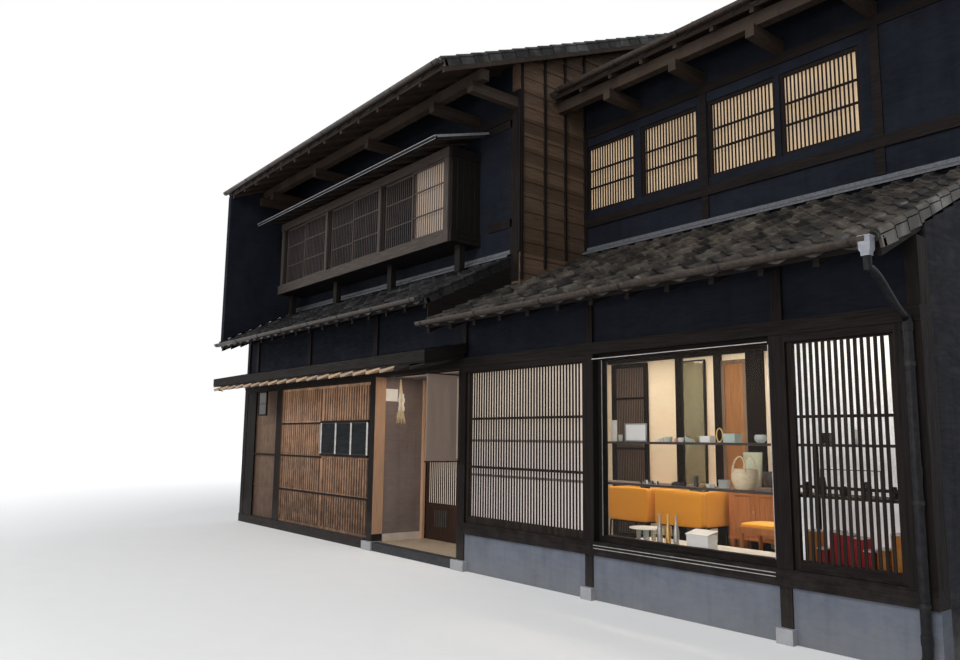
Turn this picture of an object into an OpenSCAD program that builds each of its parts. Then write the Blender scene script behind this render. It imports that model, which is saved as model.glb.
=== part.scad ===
/* [Street front] */
// Width of one structural bay, post axis to post axis
bay_w = 1970; // [1800:10:2050]
// Width of the stretch of lattice leaves on the left, end post to entrance post
run_w = 4300; // [3900:20:4700]
// Side of the square front posts
post_w = 132; // [110:2:170]
// Depth of the house, street wall to rear wall
house_d = 9850; // [8000:50:12000]
// Thickness of the outer walls
wall_t = 150; // [110:5:200]

/* [Heights of the ground floor] */
// Height of the pale cement plinth
plinth_h = 400; // [300:10:500]
// Height of the floor and of the entrance step
floor_h = 100; // [80:5:160]
// Height of the timber sill over the plinth
sill_h = 125; // [90:5:160]
// Height of the ground beam under the left lattices
ground_beam_h = 133; // [100:1:180]
// Underside of the rail over the lattices
lattice_top = 2204; // [2150:2:2220]
// Underside of the long head beam
head_z = 2262; // [2240:1:2300]
// Height of the long head beam
head_h = 110; // [90:1:150]

/* [Lattices] */
// Width of a lattice bar
bar_w = 15; // [12:1:24]
// Width of a bar of the left leaves
bar_w_left = 30; // [20:1:40]
// Depth of a lattice bar
bar_d = 12; // [8:1:24]
// Thickness of the frame round each lattice leaf
leaf_d = 40; // [34:1:50]
// Distance between the bars of the wide lattice beside the entrance
bar_pitch = 43; // [38:1:60]
// Distance between the bars of the lattice at the right end
bar_pitch_wide = 50; // [42:1:64]
// Distance between the bars of the left leaves
bar_pitch_left = 68; // [60:1:90]
// Height of a lattice rail
rail_h = 26; // [18:1:36]
// Width of the frame round a lattice
stile_w = 36; // [30:1:60]
// Height of the bottom rail of a lattice
foot_rail_h = 75; // [50:1:90]

/* [Shop window] */
// Width of the shop window's frame members
shop_frame_w = 52; // [36:2:70]
// Depth of the shop window's frame
shop_frame_d = 70; // [50:2:90]
// Thickness of the shop window's glass
glass_t = 10; // [6:1:16]
// Height of the lower display shelf
shelf_low_z = 1040; // [900:10:1150]
// Height of the upper display shelf
shelf_high_z = 1420; // [1300:10:1550]
// Depth of the display shelves
shelf_d = 330; // [240:10:420]
// Thickness of a display shelf
shelf_t = 22; // [16:1:40]

/* [Entrance] */
// Depth of the entrance recess
recess_d = 785; // [650:5:950]
// Thickness of the sliding doors
door_t = 34; // [26:1:44]
// Gap between the two sliding doors
door_gap = 12; // [8:1:20]
// Height of the boarded panel at the foot of a sliding door
door_panel_h = 470; // [350:10:600]

/* [Board eave over the entrance] */
// How far the board eave stands out from the wall
noki_d = 575; // [450:5:650]
// Underside of the board eave's front edge
noki_z = 2300; // [2250:5:2350]
// Height of the board eave's front board
noki_face_h = 125; // [90:5:150]

/* [Tiled pent roofs] */
// How far the pent roofs and the main eave stand out from the street wall
eave_d = 530; // [450:5:600]
// Top of the left pent roof at its edge
pent_left_z = 3090; // [3040:5:3150]
// Top of the right pent roof at its edge
pent_right_z = 2800; // [2780:5:2860]
// Rise of the left pent roof for each unit of run
pent_left_rise = 0.50; // [0.44:0.01:0.54]
// Rise of the right pent roof for each unit of run
pent_right_rise = 0.45; // [0.41:0.01:0.47]
// Thickness of a tiled roof with its boards
roof_t = 130; // [100:5:150]
// Height of a pent roof's rafter
rafter_h = 60; // [50:5:75]
// Distance between rafters
rafter_pitch = 394; // [330:2:500]

/* [Upper storey] */
// Setback of the left wing's upper wall from the street wall
wing_back = 780; // [700:10:850]
// Setback of the right range's upper wall from the street wall
range_back = 1970; // [1800:10:2050]
// Height of the upper floor's top
upper_floor_z = 2900; // [2850:10:2950]
// Thickness of the upper floor
upper_floor_t = 150; // [100:5:200]
// Underside of the lattice windows in the right range
range_win_z = 4460; // [4400:10:4520]
// Height of the lattice windows in the right range
range_win_h = 915; // [800:5:1000]
// Width of the bar between two windows of the right range
mullion_w = 100; // [70:5:140]

/* [Bay window of the left wing] */
// How far the bay window stands out from the wing's upper wall
bay_out = 490; // [400:10:560]
// Width of the bay window's posts
bay_post_w = 150; // [100:5:180]
// Underside of the bay window's sill
bay_z = 3950; // [3930:5:4000]
// Height of the bay window's sill
bay_sill_h = 160; // [120:5:200]
// Height of the lattice leaves in the bay window
bay_leaf_h = 990; // [900:10:1050]
// Height of the bay window's head
bay_head_h = 130; // [90:5:160]
// Distance from the wing's corner to the bay window
bay_inset = 780; // [650:10:900]
// Distance from the wing's left end to the bay window
bay_gap = 555; // [450:5:650]

/* [Main roofs] */
// Top of the left wing's roof at its street eave
main_left_z = 5830; // [5780:5:5900]
// Top of the right range's roof at its street eave
main_right_z = 6000; // [5950:5:6050]
// Overhang of the right range's street eave
range_eave_d = 660; // [560:10:750]
// Rise of the main roofs for each unit of run
main_rise = 0.42; // [0.38:0.01:0.46]
// How far the left wing's roof stands out over its side wall
verge_out = 150; // [80:10:220]
// Pitch of the tiles' rolls on the main roofs
tile_pitch = 295; // [240:5:330]
// Height of the tiles' rolls over their pans
roll_h = 36; // [25:1:45]
// Height of the ridge tiles over the roof
ridge_h = 260; // [180:10:320]
// Width of the ridge tiles
ridge_w = 240; // [180:10:300]

/* [Gutters] */
// Diameter of a gutter
gutter_dia = 100; // [80:5:120]
// Diameter of the rain pipe
pipe_dia = 76; // [60:2:90]

/* [Hidden] */
$fn = 32;
touch = 0.3;

x_pe = run_w;
x_p1 = x_pe + bay_w;
x_p2 = x_p1 + bay_w;
x_p3 = x_p2 + bay_w;
x_p4 = x_p3 + bay_w / 2;
half = post_w / 2;
x_left = -half;
x_right = x_p4 + half;
x_mid = (x_left + x_right) / 2;
y_front = -eave_d - gutter_dia;
y_back = house_d + eave_d + gutter_dia;
y_mid = (y_front + y_back) / 2;

sill_z = plinth_h + sill_h;
band_z = head_z + head_h;
ceiling_z = upper_floor_z - upper_floor_t;
wall_face = 30;
post_face = -15;
beam_face = -25;
x_wing = x_p1 + half;
x_verge = x_wing + verge_out;
x_pent_split = x_p1 - half;
ridge_y = house_d / 2;

function pent_left(y) = pent_left_z + pent_left_rise * (y + eave_d);
function pent_right(y) = pent_right_z + pent_right_rise * (y + eave_d);
function roof_left(y) = y <= ridge_y
    ? main_left_z + main_rise * (y + eave_d)
    : main_left_z + main_rise * (2 * ridge_y - y + eave_d);
range_eave_y = range_back - range_eave_d;
function roof_right(y) = y <= ridge_y
    ? main_right_z + main_rise * (y - range_eave_y)
    : main_right_z + main_rise * (2 * ridge_y - y - range_eave_y);

// Moves a piece from the street wall's frame to the middle of the whole house
module place() translate([-x_mid, -y_mid, 0]) children();

module block(x0, x1, y0, y1, z0, z1) translate([x0, y0, z0]) cube([x1 - x0, y1 - y0, z1 - z0]);

// A profile of [y, z] points drawn out along the street
module run_x(x0, x1, points) translate([x0, 0, 0]) rotate([90, 0, 90]) linear_extrude(x1 - x0) polygon(points);

// A profile of [x, z] points drawn out into the house
module run_y(y0, y1, points) translate([0, y1, 0]) rotate([90, 0, 0]) linear_extrude(y1 - y0) polygon(points);

// One lattice leaf: a frame, upright bars and rails that cross them
module lattice(x0, x1, z0, z1, y, pitch, rails, foot = stile_w, head = stile_w, width = bar_w) {
    clear_w = x1 - x0 - 2 * stile_w;
    count = floor(clear_w / pitch);
    step = clear_w / count;
    difference() {
        block(x0, x1, y, y + leaf_d, z0, z1);
        block(x0 + stile_w, x1 - stile_w, y - 1, y + leaf_d + 1, z0 + foot, z1 - head);
    }
    for (i = [1:count - 1])
        block(x0 + stile_w + i * step - width / 2, x0 + stile_w + i * step + width / 2,
              y, y + bar_d, z0 + foot / 2, z1 - head / 2);
    for (z = rails)
        block(x0 + stile_w / 2, x1 - stile_w / 2, y + 4, y + bar_d + 4, z - rail_h / 2, z + rail_h / 2);
}

module plinth_walls() color([0.62, 0.66, 0.74]) place() {
    block(x_p1 + half, x_right, 0, wall_t, 0, plinth_h);
    block(x_left + wall_t, x_right - wall_t, house_d - wall_t, house_d, 0, plinth_h);
}

module ground_floor() color([0.72, 0.62, 0.50]) place()
    linear_extrude(floor_h) polygon([
        [x_left + wall_t, wall_t], [x_pe + half, wall_t], [x_pe + half, kerb_back], [x_p1 - half, kerb_back],
        [x_p1 - half, wall_t], [x_right - wall_t, wall_t], [x_right - wall_t, house_d - wall_t],
        [x_left + wall_t, house_d - wall_t],
    ]);

kerb_face = -35;
kerb_back = 90;
module entrance_kerb() color([0.30, 0.31, 0.33]) place()
    block(x_pe + half, x_p1 - half, kerb_face, kerb_back, 0, floor_h);

footing_w = 230;
footing_h = 110;
footing_face = -60;
module post_footings() color([0.80, 0.80, 0.78]) place() {
    linear_extrude(footing_h) polygon([
        [x_pe - footing_w / 2, footing_face], [x_pe + footing_w / 2, footing_face], [x_pe + footing_w / 2, kerb_face],
        [x_pe + half, kerb_face], [x_pe + half, wall_t - 20], [x_pe - footing_w / 2, wall_t - 20],
    ]);
    linear_extrude(footing_h) polygon([
        [x_p1 - footing_w / 2, footing_face], [x_p1 + footing_w / 2, footing_face], [x_p1 + footing_w / 2, -touch],
        [x_p1 + half, -touch], [x_p1 + half, wall_t - 20], [x_p1 - half, wall_t - 20], [x_p1 - half, kerb_face],
        [x_p1 - footing_w / 2, kerb_face],
    ]);
    for (x = [x_p2, x_p3]) block(x - half, x + half, footing_face, 0, 0, footing_h);
}

band_post_w = 90;
band_top_left = pent_left(0) - roof_t - rafter_h;
band_top_right = pent_right(0) - roof_t - rafter_h;
module front_posts() color([0.13, 0.11, 0.12]) place() {
    block(x_left, half, post_face, wall_t, ground_beam_h, head_z);
    for (x = [x_pe, x_p1]) block(x - half, x + half, post_face, wall_t - 20, footing_h, head_z);
    for (x = [x_p2, x_p3]) {
        block(x - half + 18, x + half - 18, post_face, 0, footing_h, plinth_h);
        block(x - half, x + half, post_face, wall_t - 20, sill_z, head_z);
    }
    block(x_right - 185, x_right, post_face, wall_t, sill_z, head_z);
    for (x = [x_left + band_post_w / 2, x_pe - 2 * bay_w, x_pe - bay_w, x_pe])
        block(x - band_post_w / 2, x + band_post_w / 2, 0, wall_t, band_z, band_top_left);
    for (x = [x_p1, x_p2, x_p3, x_right - band_post_w / 2])
        block(x - band_post_w / 2, x + band_post_w / 2, 0, wall_t, band_z, band_top_right);
}

module sill_beams() color([0.17, 0.12, 0.10]) place() {
    block(x_p1 + half, x_right, beam_face, wall_t, plinth_h, sill_z);
    block(x_left, x_pe - footing_w / 2, beam_face, wall_t, 0, ground_beam_h);
}

module head_beams() color([0.14, 0.11, 0.10]) place() {
    block(x_left, x_right, beam_face, wall_t, head_z, band_z);
    block(half, x_pe - half, post_face, wall_t - 20, lattice_top, head_z);
    block(x_p1 + half, x_p2 - half, post_face, wall_t - 20, lattice_top, head_z);
    block(x_p3 + half, x_right - 185, post_face, wall_t - 20, lattice_top, head_z);
}

// Plaster between two posts of the band over the head beam
cheek_t = 16;
cheek_x = x_pent_split - cheek_t - touch;
function cheek_foot(y) = pent_right(y) - 60;
module band_panel(x0, x1, top)
    block(x0 + band_post_w / 2, x1 - band_post_w / 2, wall_face, wall_t - 20, band_z, top);
module front_plaster() color([0.13, 0.15, 0.20]) place() {
    band_panel(x_left + band_post_w / 2, x_pe - 2 * bay_w, band_top_left);
    band_panel(x_pe - 2 * bay_w, x_pe - bay_w, band_top_left);
    band_panel(x_pe - bay_w, x_pe, band_top_left);
    block(x_pe + band_post_w / 2, cheek_x - touch, wall_face, wall_t - 20, band_z, band_top_left);
    block(cheek_x - 2 * touch, cheek_x + cheek_t, wall_face, wall_t - 20, band_z, cheek_foot(wall_face) - touch);
    block(cheek_x + cheek_t - touch, x_p1 - band_post_w / 2, wall_face, wall_t - 20, band_z, band_top_right);
    band_panel(x_p1, x_p2, band_top_right);
    band_panel(x_p2, x_p3, band_top_right);
    band_panel(x_p3, x_right - band_post_w / 2, band_top_right);
}

left_leaf_count = 3;
left_clear = x_pe - 2 * half;
left_leaf_w = left_clear / left_leaf_count;
left_rails = [650, 1165, 1680];
lattice_face = 15;
boarding_y = lattice_face + leaf_d;
boarding_t = 20;
function leaf_x(i) = half + i * left_leaf_w;
module left_lattices() color([0.36, 0.25, 0.18]) place()
    for (i = [1:left_leaf_count - 1])
        lattice(leaf_x(i) + 0.5, leaf_x(i + 1) - 0.5, ground_beam_h, lattice_top, lattice_face, bar_pitch_left,
                left_rails, width = bar_w_left);

// The leaf of upright boards at the left end, with a batten over each rail line
batten_out = 14;
module left_board_leaf() color([0.42, 0.30, 0.22]) place() {
    block(leaf_x(0), leaf_x(1) - stile_w, lattice_face + batten_out, boarding_y, ground_beam_h, lattice_top);
    block(leaf_x(1) - stile_w, leaf_x(1) - 0.5, lattice_face - 20, boarding_y, ground_beam_h, lattice_top);
    for (z = left_rails)
        block(leaf_x(0), leaf_x(1) - stile_w, lattice_face, lattice_face + batten_out, z - rail_h / 2,
              z + rail_h / 2);
}

module left_boarding() color([0.45, 0.33, 0.26]) place()
    block(half, x_pe - half, boarding_y, boarding_y + boarding_t, ground_beam_h, lattice_top);

right_rails = [1142, 1674];
module entrance_side_lattice() color([0.15, 0.11, 0.10]) place()
    lattice(x_p1 + half, x_p2 - half, sill_z, lattice_top, lattice_face, bar_pitch, right_rails, foot_rail_h,
            stile_w / 3);

module right_end_lattice() color([0.15, 0.11, 0.10]) place()
    lattice(x_p3 + half, x_right - 185, sill_z, lattice_top, lattice_face, bar_pitch_wide, right_rails,
            foot_rail_h, stile_w / 3);

shop_x0 = x_p2 + half;
shop_x1 = x_p3 - half;
shop_y = wall_t - 20 - shop_frame_d;
module shop_window_frame() color([0.10, 0.09, 0.09]) place() difference() {
    block(shop_x0, shop_x1, shop_y, shop_y + shop_frame_d, sill_z, head_z);
    block(shop_x0 + shop_frame_w, shop_x1 - shop_frame_w, shop_y - 1, shop_y + shop_frame_d + 1,
          sill_z + shop_frame_w, head_z - shop_frame_w);
}

glass_y = shop_y + (shop_frame_d - glass_t) / 2;
module shop_window_glass() color([0.80, 0.88, 0.90, 0.35]) place() {
    block(shop_x0 + shop_frame_w, shop_x1 - shop_frame_w, glass_y, glass_y + glass_t,
          sill_z + shop_frame_w, head_z - shop_frame_w);
    block(x_p3 + half, x_right - 185, boarding_y, boarding_y + glass_t, sill_z, lattice_top);
}

shelf_y = wall_t + 30;
shelf_post_w = 40;
shelf_x0 = x_p1 + half + 30;
shelf_x1 = x_right - wall_t - 20;
// Long display boards behind the whole right half of the front, on uprights in line with the posts
module display_shelves() color([0.20, 0.14, 0.10]) place() {
    for (x = [shelf_x0, x_p2 - shelf_post_w / 2, x_p3 - shelf_post_w / 2, shelf_x1 - shelf_post_w])
        block(x, x + shelf_post_w, shelf_y, shelf_y + shelf_d, floor_h, shelf_high_z + shelf_t);
    for (z = [sill_z - shelf_t, shelf_low_z, shelf_high_z])
        block(shelf_x0 + 5, shelf_x1 - 5, shelf_y + 5, shelf_y + shelf_d - 5, z, z + shelf_t);
}

back_wall_y = 3300;
back_wall_t = 100;
back_post_w = 110;
// The plain wall with posts behind the shop
module shop_back_wall() color([0.80, 0.72, 0.58]) place() {
    block(x_left + wall_t, x_right - wall_t, back_wall_y, back_wall_y + back_wall_t, floor_h, ceiling_z);
    for (x = [x_pe, x_p1 + bay_w / 4, x_p1 + bay_w * 0.56, x_p2 - bay_w / 5, x_p3])
        block(x, x + back_post_w, back_wall_y - 30, back_wall_y + 1, floor_h, ceiling_z);
}

seat_x = x_p1 - 60;
seat_w = 700;
seat_d = 620;
seat_leg_h = 330;
seat_h = 250;
seat_back_h = 180;
seat_y = 2450;
seat_leg = 22;
// A low upholstered armchair on thin legs
module armchair(x) {
    z = floor_h + seat_leg_h;
    block(x, x + seat_w, seat_y, seat_y + seat_d, z, z + seat_h);
    block(x, x + seat_w, seat_y, seat_y + 110, z + seat_h - 1, z + seat_h + seat_back_h);
    for (lx = [x + 30, x + seat_w - 30 - seat_leg])
        for (ly = [seat_y + 30, seat_y + seat_d - 30 - seat_leg])
            block(lx, lx + seat_leg, ly, ly + seat_leg, floor_h, z + 1);
}
module shop_seats() color([0.85, 0.45, 0.12]) place() {
    armchair(seat_x);
    armchair(seat_x + seat_w + 110);
}

cabinet_w = 1100;
cabinet_d = 400;
cabinet_h = 810;
cabinet_x = seat_x + 2 * seat_w + 180;
module side_cabinet() color([0.36, 0.20, 0.12]) place() {
    block(cabinet_x, cabinet_x + cabinet_w, back_wall_y - 32 - cabinet_d, back_wall_y - 32, floor_h + 210,
          floor_h + cabinet_h);
    for (x = [cabinet_x + 20, cabinet_x + cabinet_w - 70])
        for (y = [back_wall_y - 32 - cabinet_d + 15, back_wall_y - 32 - 65])
            block(x, x + 50, y, y + 50, floor_h, floor_h + 211);
}

recess_back = recess_d + wall_t;
recess_top = head_z;
skirt_t = 12;
module recess_walls() color([0.50, 0.45, 0.43]) place() {
    for (x = [x_pe - half, x_p1 + half - wall_t + 20])
        block(x, x + wall_t - 20, wall_t, recess_d - 0.5, floor_h, recess_top);
    block(x_pe + half, x_p1 - half, wall_t, recess_back, recess_top, recess_top + 40);
}

jamb_w = 95;
door_top = 2160;
module recess_door_frame() color([0.42, 0.29, 0.20]) place() {
    for (x = [x_pe - half, x_p1 + half - jamb_w - 50])
        block(x, x + jamb_w + 50, recess_d, recess_back, floor_h, recess_top);
    block(x_pe - half + jamb_w + 50, x_p1 + half - jamb_w - 50, recess_d, recess_back, door_top, recess_top);
}

door_clear = x_p1 - x_pe + post_w - 2 * (jamb_w + 50);
door_x0 = x_pe - half + jamb_w + 50;
door_lap = 50;
door_w = (door_clear + door_lap) / 2 - 6;
track_gap = 6;
runner_w = 60;
// A sliding door: a frame, a boarded foot and an upright lattice over it
module door_leaf(x0, y0) {
    z0 = floor_h + track_gap;
    z1 = door_top - track_gap;
    panel_top = z0 + door_panel_h;
    clear = door_w - 2 * stile_w;
    count = floor(clear / bar_pitch);
    step = clear / count;
    difference() {
        block(x0, x0 + door_w, y0, y0 + door_t, z0, z1);
        block(x0 + stile_w, x0 + door_w - stile_w, y0 - 1, y0 + door_t + 1, panel_top, z1 - 60);
    }
    for (x = [x0 + 80, x0 + door_w - 80 - runner_w])
        block(x, x + runner_w, y0 + door_t / 2 - 6, y0 + door_t / 2 + 6, floor_h + touch, z0 + 1);
    for (i = [1:count - 1])
        block(x0 + stile_w + i * step - bar_w / 2, x0 + stile_w + i * step + bar_w / 2,
              y0 + 3, y0 + 3 + bar_d, panel_top - 10, z1 - 50);
}
door_y = recess_d + 25;
module sliding_door() color([0.34, 0.22, 0.15]) place() door_leaf(door_x0 + 6, door_y);
module fixed_door() color([0.34, 0.22, 0.15]) place()
    door_leaf(door_x0 + door_clear - door_w, door_y + door_t + door_gap);

noki_rise = 0.22;
noki_board_t = 24;
noki_lap = 45;
noki_x1 = x_p1 + half;
noki_boards = 20;
noki_face_t = 22;
noki_step = (noki_x1 - x_left) / noki_boards;
noki_tilt = atan(noki_rise);
noki_thick = noki_board_t + 1.25 * noki_lap;
noki_y0 = -noki_d - noki_face_t + noki_thick * noki_rise + touch;
noki_base = noki_z - 1.04 * noki_thick - touch;
noki_run = (beam_face - touch - noki_y0) / cos(noki_tilt);
function noki_under(y) = noki_base + noki_rise * (y - noki_y0);
function noki_bed(y) = noki_under(y) + 1.04 * noki_thick;
function noki_top(y) = noki_z + noki_face_h + noki_rise * (y + noki_d + noki_face_t);
// Height of a board's underside over the lowest line, at a place along the street
function noki_saw(x) = noki_lap * ((x - x_left) / noki_step - floor((x - x_left) / noki_step)) / cos(noki_tilt);
// Highest level top of an upright rod that fits under the boards
function noki_over(x, y, r) = noki_under(y) + noki_saw(x) - r * norm([noki_rise, noki_lap / noki_step]) - touch;
// The top boards, and under them the ceiling boards, each one's left edge dropped under its neighbour
module board_eave() color([0.16, 0.12, 0.10]) place() {
    run_x(x_left, noki_x1, [
        [-noki_d, noki_top(-noki_d) - noki_board_t], [-touch, noki_top(-touch) - noki_board_t],
        [-touch, noki_top(-touch)], [-noki_d, noki_top(-noki_d)],
    ]);
    translate([x_left, noki_y0, noki_base])
        rotate([noki_tilt, 0, 0]) rotate([90, 0, 0]) mirror([0, 0, 1]) linear_extrude(noki_run) polygon(concat(
            [for (i = [0:noki_boards - 1], side = [0, 1]) [(i + side) * noki_step, side * noki_lap]],
            [[noki_boards * noki_step, noki_thick], [0, noki_thick]]
        ));
}
noki_beam_y = -330;
noki_beam_w = 80;
noki_arm_w = 70;
noki_arms = [x_left + noki_arm_w / 2, x_pe - 2 * bay_w, x_pe - bay_w, x_pe, noki_x1 - noki_arm_w / 2];
module noki_filler(x0, x1, y0, y1) run_x(x0, x1, [
    [y0, noki_bed(y0) + touch], [y1, noki_bed(y1) + touch],
    [y1, noki_top(y1) - noki_board_t - touch], [y0, noki_top(y0) - noki_board_t - touch],
]);
// Front board, and between the boards the purlin and the arms that carry them from the posts
module board_eave_frame() color([0.24, 0.17, 0.13]) place() {
    block(x_left, noki_x1, -noki_d - noki_face_t, -noki_d - touch, noki_z, noki_z + noki_face_h);
    noki_filler(x_left, noki_x1, noki_beam_y, noki_beam_y + noki_beam_w);
    for (x = noki_arms) noki_filler(x - noki_arm_w / 2, x + noki_arm_w / 2, -noki_d - 2 * touch, -touch);
}

// A tiled slab from its edge to the wall behind
module pent_slab(x0, x1, y0, y1, z0, z1) run_x(x0, x1, [
    [y0, z0 - roof_t], [y1, z1 - roof_t], [y1, z1], [y0, z0],
]);
flash_h = 55;
flash_t = 25;
module left_pent_roof() color([0.20, 0.20, 0.21]) place() {
    pent_slab(x_left, x_pent_split, -eave_d, wing_back, pent_left(-eave_d), pent_left(wing_back));
    run_x(x_left + fin_t + touch, x_pent_split, [
        [wing_back - flash_t, pent_left(wing_back - flash_t)], [wing_back, pent_left(wing_back)],
        [wing_back, pent_left(wing_back) + flash_h], [wing_back - flash_t, pent_left(wing_back) + flash_h],
    ]);
}
module right_pent_roof() color([0.20, 0.20, 0.21]) place() {
    pent_slab(x_pent_split, x_wing, -eave_d, wing_back, pent_right(-eave_d), pent_right(wing_back));
    pent_slab(x_wing, x_right, -eave_d, range_back, pent_right(-eave_d), pent_right(range_back));
    run_x(x_wing, x_right, [
        [range_back - flash_t, pent_right(range_back - flash_t)], [range_back, pent_right(range_back)],
        [range_back, pent_right(range_back) + flash_h], [range_back - flash_t, pent_right(range_back) + flash_h],
    ]);
}

rafter_w = 45;
rafter_in = 40;
cheek_y = 60 - eave_d;
module rafter(x, y0, y1, z0, z1) run_x(x - rafter_w / 2, x + rafter_w / 2, [
    [y0, z0], [y0, z0 - rafter_h], [y1, z1 - rafter_h], [y1, z1],
]);
module pent_rafters() color([0.18, 0.13, 0.11]) place() {
    left_count = floor((x_pent_split - x_left - 2 * rafter_in) / rafter_pitch);
    left_step = (x_pent_split - x_left - 2 * rafter_in) / left_count;
    for (i = [0:left_count])
        rafter(x_left + rafter_in + i * left_step, -eave_d + rafter_in, wall_t,
               pent_left(-eave_d + rafter_in) - roof_t, pent_left(wall_t) - roof_t);
    right_count = floor((x_right - x_pent_split - 2 * rafter_in) / rafter_pitch);
    right_step = (x_right - x_pent_split - 2 * rafter_in) / right_count;
    for (i = [0:right_count])
        rafter(x_pent_split + rafter_in + i * right_step, -eave_d + rafter_in, wall_t,
               pent_right(-eave_d + rafter_in) - roof_t, pent_right(wall_t) - roof_t);
    run_x(cheek_x, cheek_x + cheek_t, [
        [cheek_y, cheek_foot(cheek_y)], [wing_back - touch, cheek_foot(wing_back)],
        [wing_back - touch, pent_left(wing_back - touch) - roof_t - touch],
        [cheek_y, pent_left(cheek_y) - roof_t - touch],
    ]);
}

// A gable roof from street eave to rear eave, with the rolls of its tiles, its ridge and the ridge's end tiles
roll_part = 0.3;
ridge_end_t = 50;
module gable_roof(x0, x1, y_eave, z_eave, z_ridge) {
    y_rear = 2 * ridge_y + eave_d;
    z_rear = z_ridge - main_rise * (y_rear - ridge_y);
    columns = round((x1 - x0) / tile_pitch);
    pitch = (x1 - x0) / columns;
    run_x(x0, x1, [
        [y_eave, z_eave - roof_t], [ridge_y, z_ridge - roof_t], [y_rear, z_rear - roof_t],
        [y_rear, z_rear - roll_h], [ridge_y, z_ridge - roll_h], [y_eave, z_eave - roll_h],
    ]);
    for (i = [0:columns - 1])
        run_x(x0 + (i + 1 - roll_part) * pitch, x0 + (i + 1) * pitch, [
            [y_eave, z_eave - roll_h - 1], [ridge_y, z_ridge - roll_h - 1], [y_rear, z_rear - roll_h - 1],
            [y_rear, z_rear], [ridge_y, z_ridge], [y_eave, z_eave],
        ]);
    foot = z_ridge - main_rise * ridge_w / 2 - roll_h - 5;
    run_x(x0, x1, [
        [ridge_y - ridge_w / 2, foot], [ridge_y + ridge_w / 2, foot],
        [ridge_y + ridge_w / 3, z_ridge + ridge_h * 0.7], [ridge_y + ridge_w / 6, z_ridge + ridge_h],
        [ridge_y - ridge_w / 6, z_ridge + ridge_h], [ridge_y - ridge_w / 3, z_ridge + ridge_h * 0.7],
    ]);
    for (x = [x0, x1 - ridge_end_t])
        run_x(x, x + ridge_end_t, [
            [ridge_y - ridge_w * 0.6, foot - 15], [ridge_y + ridge_w * 0.6, foot - 15],
            [ridge_y + ridge_w * 0.5, z_ridge + ridge_h * 0.5], [ridge_y + ridge_w * 0.35, z_ridge + ridge_h * 0.82],
            [ridge_y + ridge_w * 0.17, z_ridge + ridge_h], [ridge_y - ridge_w * 0.17, z_ridge + ridge_h],
            [ridge_y - ridge_w * 0.35, z_ridge + ridge_h * 0.82], [ridge_y - ridge_w * 0.5, z_ridge + ridge_h * 0.5],
        ]);
}
module left_main_roof() color([0.20, 0.20, 0.21]) place()
    gable_roof(x_left, x_verge, -eave_d, roof_left(-eave_d), roof_left(ridge_y));
module right_main_roof() color([0.20, 0.20, 0.21]) place()
    gable_roof(x_wing, x_right, range_eave_y, roof_right(range_eave_y), roof_right(ridge_y));

purlin_w = 110;
purlin_h = 140;
arm_w = 100;
arm_h = 130;
// Outrigger purlin on cantilever arms, under the rafters of a deep eave
module eave_frame(x0, x1, arms, y_wall, y_purlin, z_under) {
    z_top = z_under - rafter_h;
    block(x0, x1, y_purlin, y_purlin + purlin_w, z_top - purlin_h, z_top);
    for (x = arms)
        block(x - arm_w / 2, x + arm_w / 2, y_purlin - 60, y_wall, z_top - purlin_h - arm_h, z_top - purlin_h);
}
purlin_out = 700;
left_purlin_y = wing_back - purlin_out;
bay_x1 = x_wing - bay_inset;
bay_x0 = x_left + bay_gap;
leaf_pair_w = (bay_x1 - bay_x0 - 4 * bay_post_w) / 3;
bay_posts = [for (i = [0:3]) bay_x0 + i * (leaf_pair_w + bay_post_w)];
fin_t = 120;
wing_arms = concat([x_left + fin_t + touch + arm_w / 2], [for (x = bay_posts) x + bay_post_w / 2], [x_wing - arm_w / 2]);
main_rafter_step = 455;
module main_rafters(x0, x1, y_eave, y_wall, under_eave, under_wall) {
    count = floor((x1 - x0 - 2 * rafter_in) / main_rafter_step);
    for (i = [0:count])
        rafter(x0 + rafter_in + i * (x1 - x0 - 2 * rafter_in) / count, y_eave + rafter_in, y_wall,
               under_eave + main_rise * rafter_in, under_wall);
}
module left_eave_frame() color([0.30, 0.22, 0.18]) place() {
    eave_frame(x_left + fin_t + touch, x_verge - 40, wing_arms, wing_back, left_purlin_y, roof_left(left_purlin_y) - roof_t);
    main_rafters(x_left + fin_t, x_verge, -eave_d, wing_back, roof_left(-eave_d) - roof_t, roof_left(wing_back) - roof_t);
}
right_purlin_y = range_back - purlin_out * 0.74;
range_arms = [x_p1 + bay_w / 2, x_p2, x_p2 + bay_w / 2, x_p3, x_right - arm_w];
module right_eave_frame() color([0.30, 0.22, 0.18]) place() {
    eave_frame(x_wing, x_right, range_arms, range_back, right_purlin_y, roof_right(right_purlin_y) - roof_t);
    main_rafters(x_wing, x_right, range_eave_y, range_back, roof_right(range_eave_y) - roof_t,
                 roof_right(range_back) - roof_t);
}

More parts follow.
